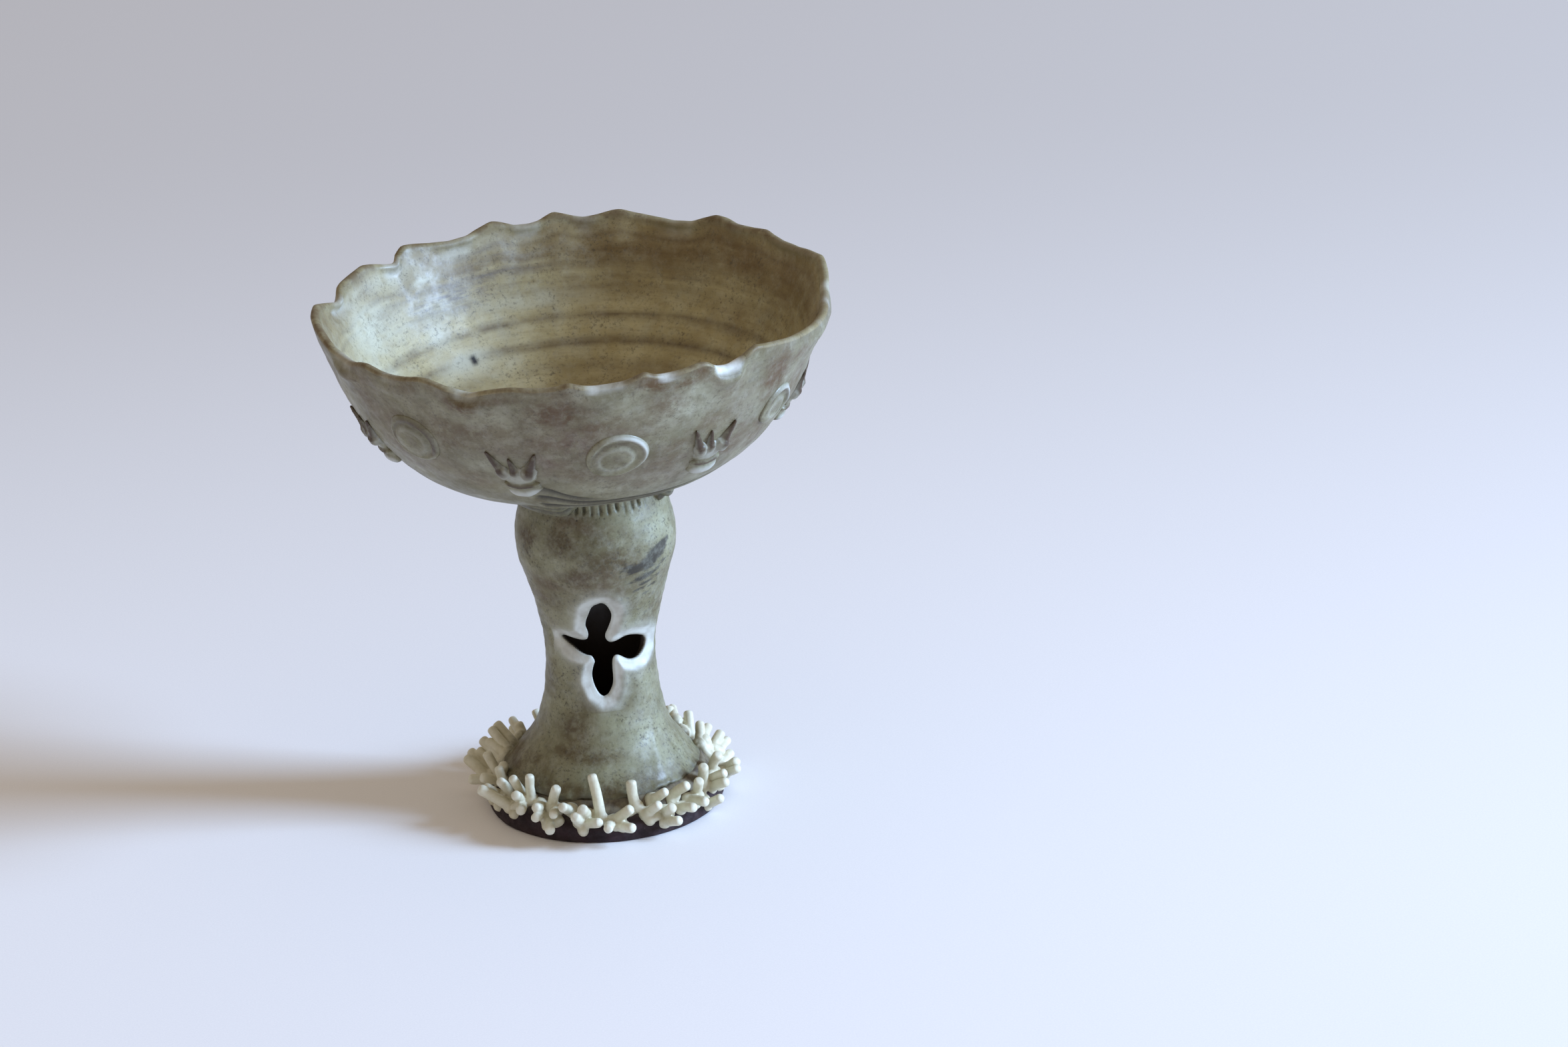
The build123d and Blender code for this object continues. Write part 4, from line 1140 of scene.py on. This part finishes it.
def bowl_outer_tone(mat):
    tone = ash_ground(mat, pale=(148, 145, 126), grey=(122, 118, 97), olive=(104, 96, 66),
                      brown=(86, 70, 46), mauve=(110, 96, 86))
    runs = mat.cloud(size=1.7, band=(.46, .70), grain=(4, .65),
                     place=mat.stretched((.3, .3, 1.6)), seed=15)
    tone = mat.tint(tone, (96, 84, 68), runs, amount=.35)
    tone = mat.tint(tone, (186, 187, 176), "pale", mat.cloud(
        size=5, band=(.28, .60), out=(.15, 1), grain=(5, .66), seed=16), clamp=True)
    tone = mat.tint(tone, (112, 92, 80), "mauve", mat.cloud(
        size=4, band=(.30, .60), out=(.2, .85), grain=(5, .66), seed=17), clamp=True)
    tone = mat.tint(tone, (98, 74, 44), "brown", mat.cloud(
        size=3.2, band=(.30, .58), out=(.15, 1), grain=(5, .68), warp=.5, seed=18), clamp=True)
    return mat.mix(1.0, tone, (.80, .775, .64, 1), "MULTIPLY")


def bowl_inner_tone(mat):
    """Warm cream run to tan, with brown throwing rings."""
    tone = mat.mix(mat.cloud(size=16, band=(.36, .66), grain=(4, .6), seed=21),
                   (202, 194, 164), (176, 164, 128))
    tone = mat.tint(tone, (156, 140, 102), mat.cloud(
        size=22, band=(.45, .70), grain=(3, .6), seed=23), amount=.7)
    tone = mat.tint(tone, (188, 188, 176), mat.cloud(
        size=13, band=(.50, .74), grain=(3, .6), seed=25), amount=.5)
    tone = mat.tint(tone, (126, 108, 76), mat.ramp("hgt", band=(146, 163)), mat.cloud(
        size=14, band=(.30, .62), out=(.15, .75), grain=(4, .6), seed=27))
    runs = mat.cloud(size=2, band=(.45, .70), grain=(3, .6),
                     place=mat.stretched((.25, .25, 2.6)), seed=29)
    tone = mat.tint(tone, (150, 134, 104), runs, amount=.35)
    tone = mat.tint(tone, (88, 68, 40), "ring", mat.cloud(
        size=10, band=(.30, .60), out=(.45, 1), grain=(3, .6), seed=31), amount=.80)
    tone = mat.tint(tone, (112, 90, 52), "brown", mat.cloud(
        size=5, band=(.26, .60), out=(.35, 1), grain=(4, .6),
        place=mat.stretched((.5, .5, 2)), seed=43))
    # pale: inside, painted light on the left wall where the window shines in
    tone = mat.tint(tone, (206, 208, 200), "pale", mat.cloud(
        size=5, band=(.2, .55), out=(.4, 1), grain=(3, .6), seed=44))
    tone = mat.tint(tone, (112, 104, 102), "mauve", mat.cloud(
        size=2.4, band=(.34, .62), out=(.25, 1), grain=(4, .65),
        place=mat.stretched((.35, .35, 2.2)), seed=45))
    return mat.mix(1.0, tone, (.96, .93, .78, 1), "MULTIPLY")


def bowl_material():
    mat = Shader("bowl_ash_glaze")
    outer, inner = bowl_outer_tone(mat), bowl_inner_tone(mat)
    inside = mat.new("ShaderNodeAttribute", attribute_type="GEOMETRY",
                     attribute_name="inside").outputs["Fac"]
    tone = freckle(mat, mat.mix(inside, outer, inner))
    tone = mat.tint(tone, (28, 22, 18), "pin")
    # painted highlight in the pressed hollows of the lip
    tone = mat.tint(tone, (214, 216, 210), "scoop", mat.cloud(
        size=3.5, band=(.25, .6), out=(.5, .95), grain=(2, .55), seed=33))
    edge = mat.times("edge", mat.cloud(
        size=5, band=(.36, .62), out=(.10, 1), grain=(3, .6), seed=35))
    tone = mat.tint(tone, (94, 72, 44), edge, amount=.72)
    # painted shade in the rib grooves under the bowl
    tone = mat.tint(tone, (54, 48, 30), mat.math("MINIMUM", mat.times("groove", 1.5), 1.0))
    rough = mat.cloud(size=4, band=(.3, .7), out=(.36, .54), grain=(3, .6), seed=37)
    rough = mat.add(mat.add(rough, mat.times(inside, .05)), mat.times(edge, .15))
    height = mat.add(mat.times(mat.noise(size=1.3, grain=(4, .6), seed=39), .6),
                     mat.times(mat.noise(size=5.5, grain=(2, .55), seed=41), .8))
    pits = mat.times(mat.specks(size=5.2, band=(.045, .075), seed=2.0), .4)
    height = mat.math("SUBTRACT", height, pits)
    return mat.finish(tone, rough, height, strength=.35, depth=.22)


def sprig_material():
    mat = Shader("sprig_ash_glaze")
    tone = ash_ground(mat, pale=(150, 147, 128), grey=(126, 122, 100), olive=(110, 102, 72),
                      brown=(92, 76, 50), mauve=(114, 100, 88))
    tone = freckle(mat, mat.mix(1.0, tone, (.80, .785, .65, 1), "MULTIPLY"))
    # brown in recesses, with painted shade inside the roundels' rims and under their lower edges
    tone = mat.tint(tone, (72, 58, 40), "recess", mat.cloud(
        size=2.4, band=(.3, .62), out=(.45, .95), seed=51))
    # white glaze pooled round the prongs, and a painted highlight on the roundels' lit upper-right
    # rims
    tone = mat.tint(tone, (200, 202, 196), "pool", amount=.66)
    tone = mat.tint(tone, (66, 47, 28), "edge", mat.cloud(
        size=1.6, band=(.28, .50), out=(.55, 1), grain=(3, .6), seed=53), amount=.97)
    height = mat.add(mat.times(mat.noise(size=.9, grain=(4, .6), seed=55), .5),
                     mat.noise(size=3, grain=(2, .55), seed=57))
    rough = mat.cloud(size=3, band=(.3, .7), out=(.34, .50), seed=59)
    return mat.finish(tone, rough, height, strength=.35, depth=.22)


def stem_material():
    mat = Shader("stem_ash_glaze")
    tone = ash_ground(mat, pale=(152, 149, 128), grey=(124, 121, 98), olive=(106, 100, 68),
                      brown=(88, 72, 46), mauve=(112, 99, 86), seed=4.0)
    tone = mat.tint(tone, (176, 177, 160), "pale", mat.cloud(
        size=4, band=(.22, .60), out=(.3, 1), grain=(4, .6), seed=60))
    tone = mat.tint(tone, (88, 70, 38), "brown", mat.cloud(
        size=3, band=(.30, .60), out=(.25, 1), grain=(5, .68), warp=.7, seed=61),
        amount=.92, clamp=True)
    tone = mat.tint(tone, (116, 98, 84), "mauve", mat.cloud(
        size=4, band=(.30, .60), out=(.25, .9), grain=(3, .6), seed=63), amount=.7, clamp=True)
    # dark strokes with a broken, slanting edge
    slanted = mat.stretched((.8, .8, 4.2), tilt=(0, math.radians(-12), 0))
    ragged = mat.times(mat.noise(size=2.6, grain=(4, .65), place=slanted, seed=65), 1.7)
    stroke = mat.ramp(mat.add("streak", ragged), band=(1.12, 1.72))
    tone = mat.tint(tone, (50, 47, 46), stroke, amount=.90)
    tone = mat.mix(1.0, tone, (.76, .745, .59, 1), "MULTIPLY")
    tone = freckle(mat, tone, dark=(62, 56, 38), light=(186, 188, 172), seed=6.0, gain=1.15)
    tone = mat.tint(tone, (66, 66, 56), "mark", amount=.75)
    white = mat.mix(mat.cloud(size=4, band=(.4, .7), grain=(2, .55), seed=69),
                    (208, 210, 202), (188, 187, 178))
    tone = mat.tint(tone, white, "halo", mat.cloud(
        size=2.6, band=(.15, .50), out=(.72, 1), grain=(3, .6), seed=67), amount=.95)
    tone = mat.tint(tone, (62, 52, 44), "inside")
    tone = mat.tint(tone, (74, 68, 52), mat.ramp("hgt", band=(11.8, 14.6), out=(1, 0)),
                    mat.cloud(size=2.6, band=(.3, .6), out=(.2, .95), seed=71))
    rough = mat.cloud(size=4, band=(.3, .7), out=(.40, .58), grain=(3, .6), seed=73)
    height = mat.add(mat.times(mat.noise(size=1.1, grain=(4, .65), seed=75), .65),
                     mat.times(mat.noise(size=5, grain=(2, .55), seed=77), .9))
    return mat.finish(tone, rough, height, strength=.4, depth=.25)


def clay_material():
    mat = Shader("bare_dark_stoneware")
    tone = mat.mix(mat.cloud(size=5, band=(.35, .68), grain=(4, .6)), (36, 23, 27), (54, 37, 41))
    tone = mat.tint(tone, (24, 15, 18), mat.cloud(
        size=.7, band=(.50, .72), grain=(3, .7), seed=3), amount=.6)
    tone = mat.tint(tone, (96, 78, 74), mat.specks(size=1.7, band=(.08, .16), seed=5.0),
                    amount=.35)
    tone = mat.tint(tone, (122, 112, 92), "slip", mat.cloud(
        size=3, band=(.32, .6), out=(.35, 1), seed=9))
    height = mat.add(mat.noise(size=.8, grain=(4, .7), seed=7),
                     mat.noise(size=2.8, grain=(2, .55), seed=8))
    rough = mat.cloud(size=1.8, band=(.3, .7), out=(.62, .86), seed=10)
    return mat.finish(tone, rough, height, strength=.6, depth=.3, specular=.35)


def porcelain_material():
    mat = Shader("coral_porcelain")
    tone = mat.mix(mat.cloud(size=5, band=(.35, .66), grain=(3, .6)),
                   (224, 220, 198), (210, 204, 178))
    tone = mat.tint(tone, (192, 184, 154), mat.cloud(
        size=1.5, band=(.50, .72), grain=(3, .6), seed=2), amount=.35)
    tone = mat.tint(tone, (228, 227, 212), "tipd", amount=.35)
    # darker deep in the ring near the body and low down: painted shade, with some glaze staining
    # at the roots
    tone = mat.tint(tone, (172, 163, 136), "deep", mat.cloud(
        size=2.4, band=(.30, .62), out=(.25, .85), seed=4))
    tone = mat.tint(tone, (128, 122, 98), "stain", mat.cloud(
        size=2, band=(.30, .58), out=(.4, 1), seed=6))
    tone = mat.tint(tone, (60, 50, 40), mat.specks(size=4.4, band=(.04, .08), seed=3.0),
                    mat.cloud(size=9, band=(.46, .54), grain=(2, .55), seed=5), amount=.8)
    height = mat.add(mat.times(mat.noise(size=.7, grain=(3, .6), seed=8), .5),
                     mat.noise(size=2.2, grain=(2, .55), seed=12))
    rough = mat.cloud(size=2.5, band=(.3, .7), out=(.42, .58), seed=14)
    return mat.finish(tone, rough, height, strength=.25, depth=.2)


def floor_material():
    """Pale paper with painted light: brighter towards the front and slightly towards the left."""
    mat = Shader("pale_paper")
    axes = mat.new("ShaderNodeSeparateXYZ")
    mat.put(axes.inputs[0], mat.place)
    # painted light falloff, dimmer away from the front
    nearness = mat.add(mat.times(axes.outputs[1], -1.0), mat.times(axes.outputs[0], -.10))
    tone = mat.mix(mat.ramp(nearness, band=(-.75, .12)), (217, 211, 207), (254, 251, 251))
    tone = mat.tint(tone, (150, 152, 166), mat.cloud(
        size=.6, band=(.3, .7), out=(0, .06), grain=(2, .7), seed=3))
    height = mat.noise(size=.5, grain=(2, .55), seed=5)
    return mat.finish(tone, .85, height, strength=.05, depth=.1, specular=.2)


# ---------------------------------------------------------------- stage
def build_floor():
    """A sheet that curves up behind the bowl."""
    count = 48
    verts = [(x, y, 550 * max(0.0, (y - 2400) / 2600) ** 2)
             for y in np.linspace(-3000, 5000, count) for x in np.linspace(-4000, 4000, count)]
    faces = [(j + i, j + i + 1, j + count + i + 1, j + count + i)
             for j in range(0, (count - 1) * count, count) for i in range(count - 1)]
    floor = make_mesh("floor", verts, faces)
    floor.data.materials.append(floor_material())


def add_light(scene):
    """Warm dim room and one cool window on the right; metres and watts."""
    scene.view_settings.view_transform = "Standard"
    world = bpy.data.worlds.new("soft_room")
    world.use_nodes = True
    background = world.node_tree.nodes["Background"]
    background.inputs["Color"].default_value = (0.44, 0.385, 0.325, 1)
    background.inputs["Strength"].default_value = 1.0
    scene.world = world
    light = bpy.data.lights.new("window", "AREA")
    light.shape = "RECTANGLE"
    light.size, light.size_y = 0.85, 1.5
    light.energy = 240
    light.color = (0.485, 0.68, 1.0)
    window = bpy.data.objects.new("window", light)
    scene.collection.objects.link(window)
    window.location = (3.24, -0.76, 1.44)
    aim = Vector((0, 0, 0.06)) - Vector((3.24, -0.76, 1.44))
    window.rotation_euler = aim.to_track_quat("-Z", "Y").to_euler()


def add_camera(scene):
    """Looks down from the front; the place is in metres before the turn about z."""
    pitch, roll = math.radians(21.600976626), math.radians(-2.821501806)
    place = (0.060669, -1.65162, 0.743694)
    ahead = Vector((0, math.cos(pitch), -math.sin(pitch)))
    level = Vector((1, 0, 0))
    upright = level.cross(ahead)
    right = level * math.cos(roll) + upright * math.sin(roll)
    up = -level * math.sin(roll) + upright * math.cos(roll)
    rows = [(right[k], up[k], -ahead[k], place[k]) for k in range(3)]
    camera = bpy.data.cameras.new("camera")
    camera.sensor_width = 36.0
    camera.lens = 130.32368
    camera.clip_start, camera.clip_end = 0.05, 50
    ob = bpy.data.objects.new("camera", camera)
    scene.collection.objects.link(ob)
    ob.matrix_world = Matrix.Rotation(VIEW_TURN, 4, "Z") @ Matrix((*rows, (0, 0, 0, 1)))
    scene.camera = ob


# ---------------------------------------------------------------- build
bowl_glaze, sprig_glaze, stem_glaze = bowl_material(), sprig_material(), stem_material()
bare_clay, porcelain = clay_material(), porcelain_material()
build_bowl(bowl_glaze)
for number, roundel in enumerate(ROUNDELS, 1):
    build_roundel(number, *roundel, sprig_glaze)
for number, prong in enumerate(PRONGS, 1):
    build_prong_sprig(number, *prong, sprig_glaze)
build_stem(stem_glaze)
build_coil(stem_glaze)
build_foot(bare_clay)
build_coral(porcelain)
build_floor()
add_light(bpy.context.scene)
add_camera(bpy.context.scene)
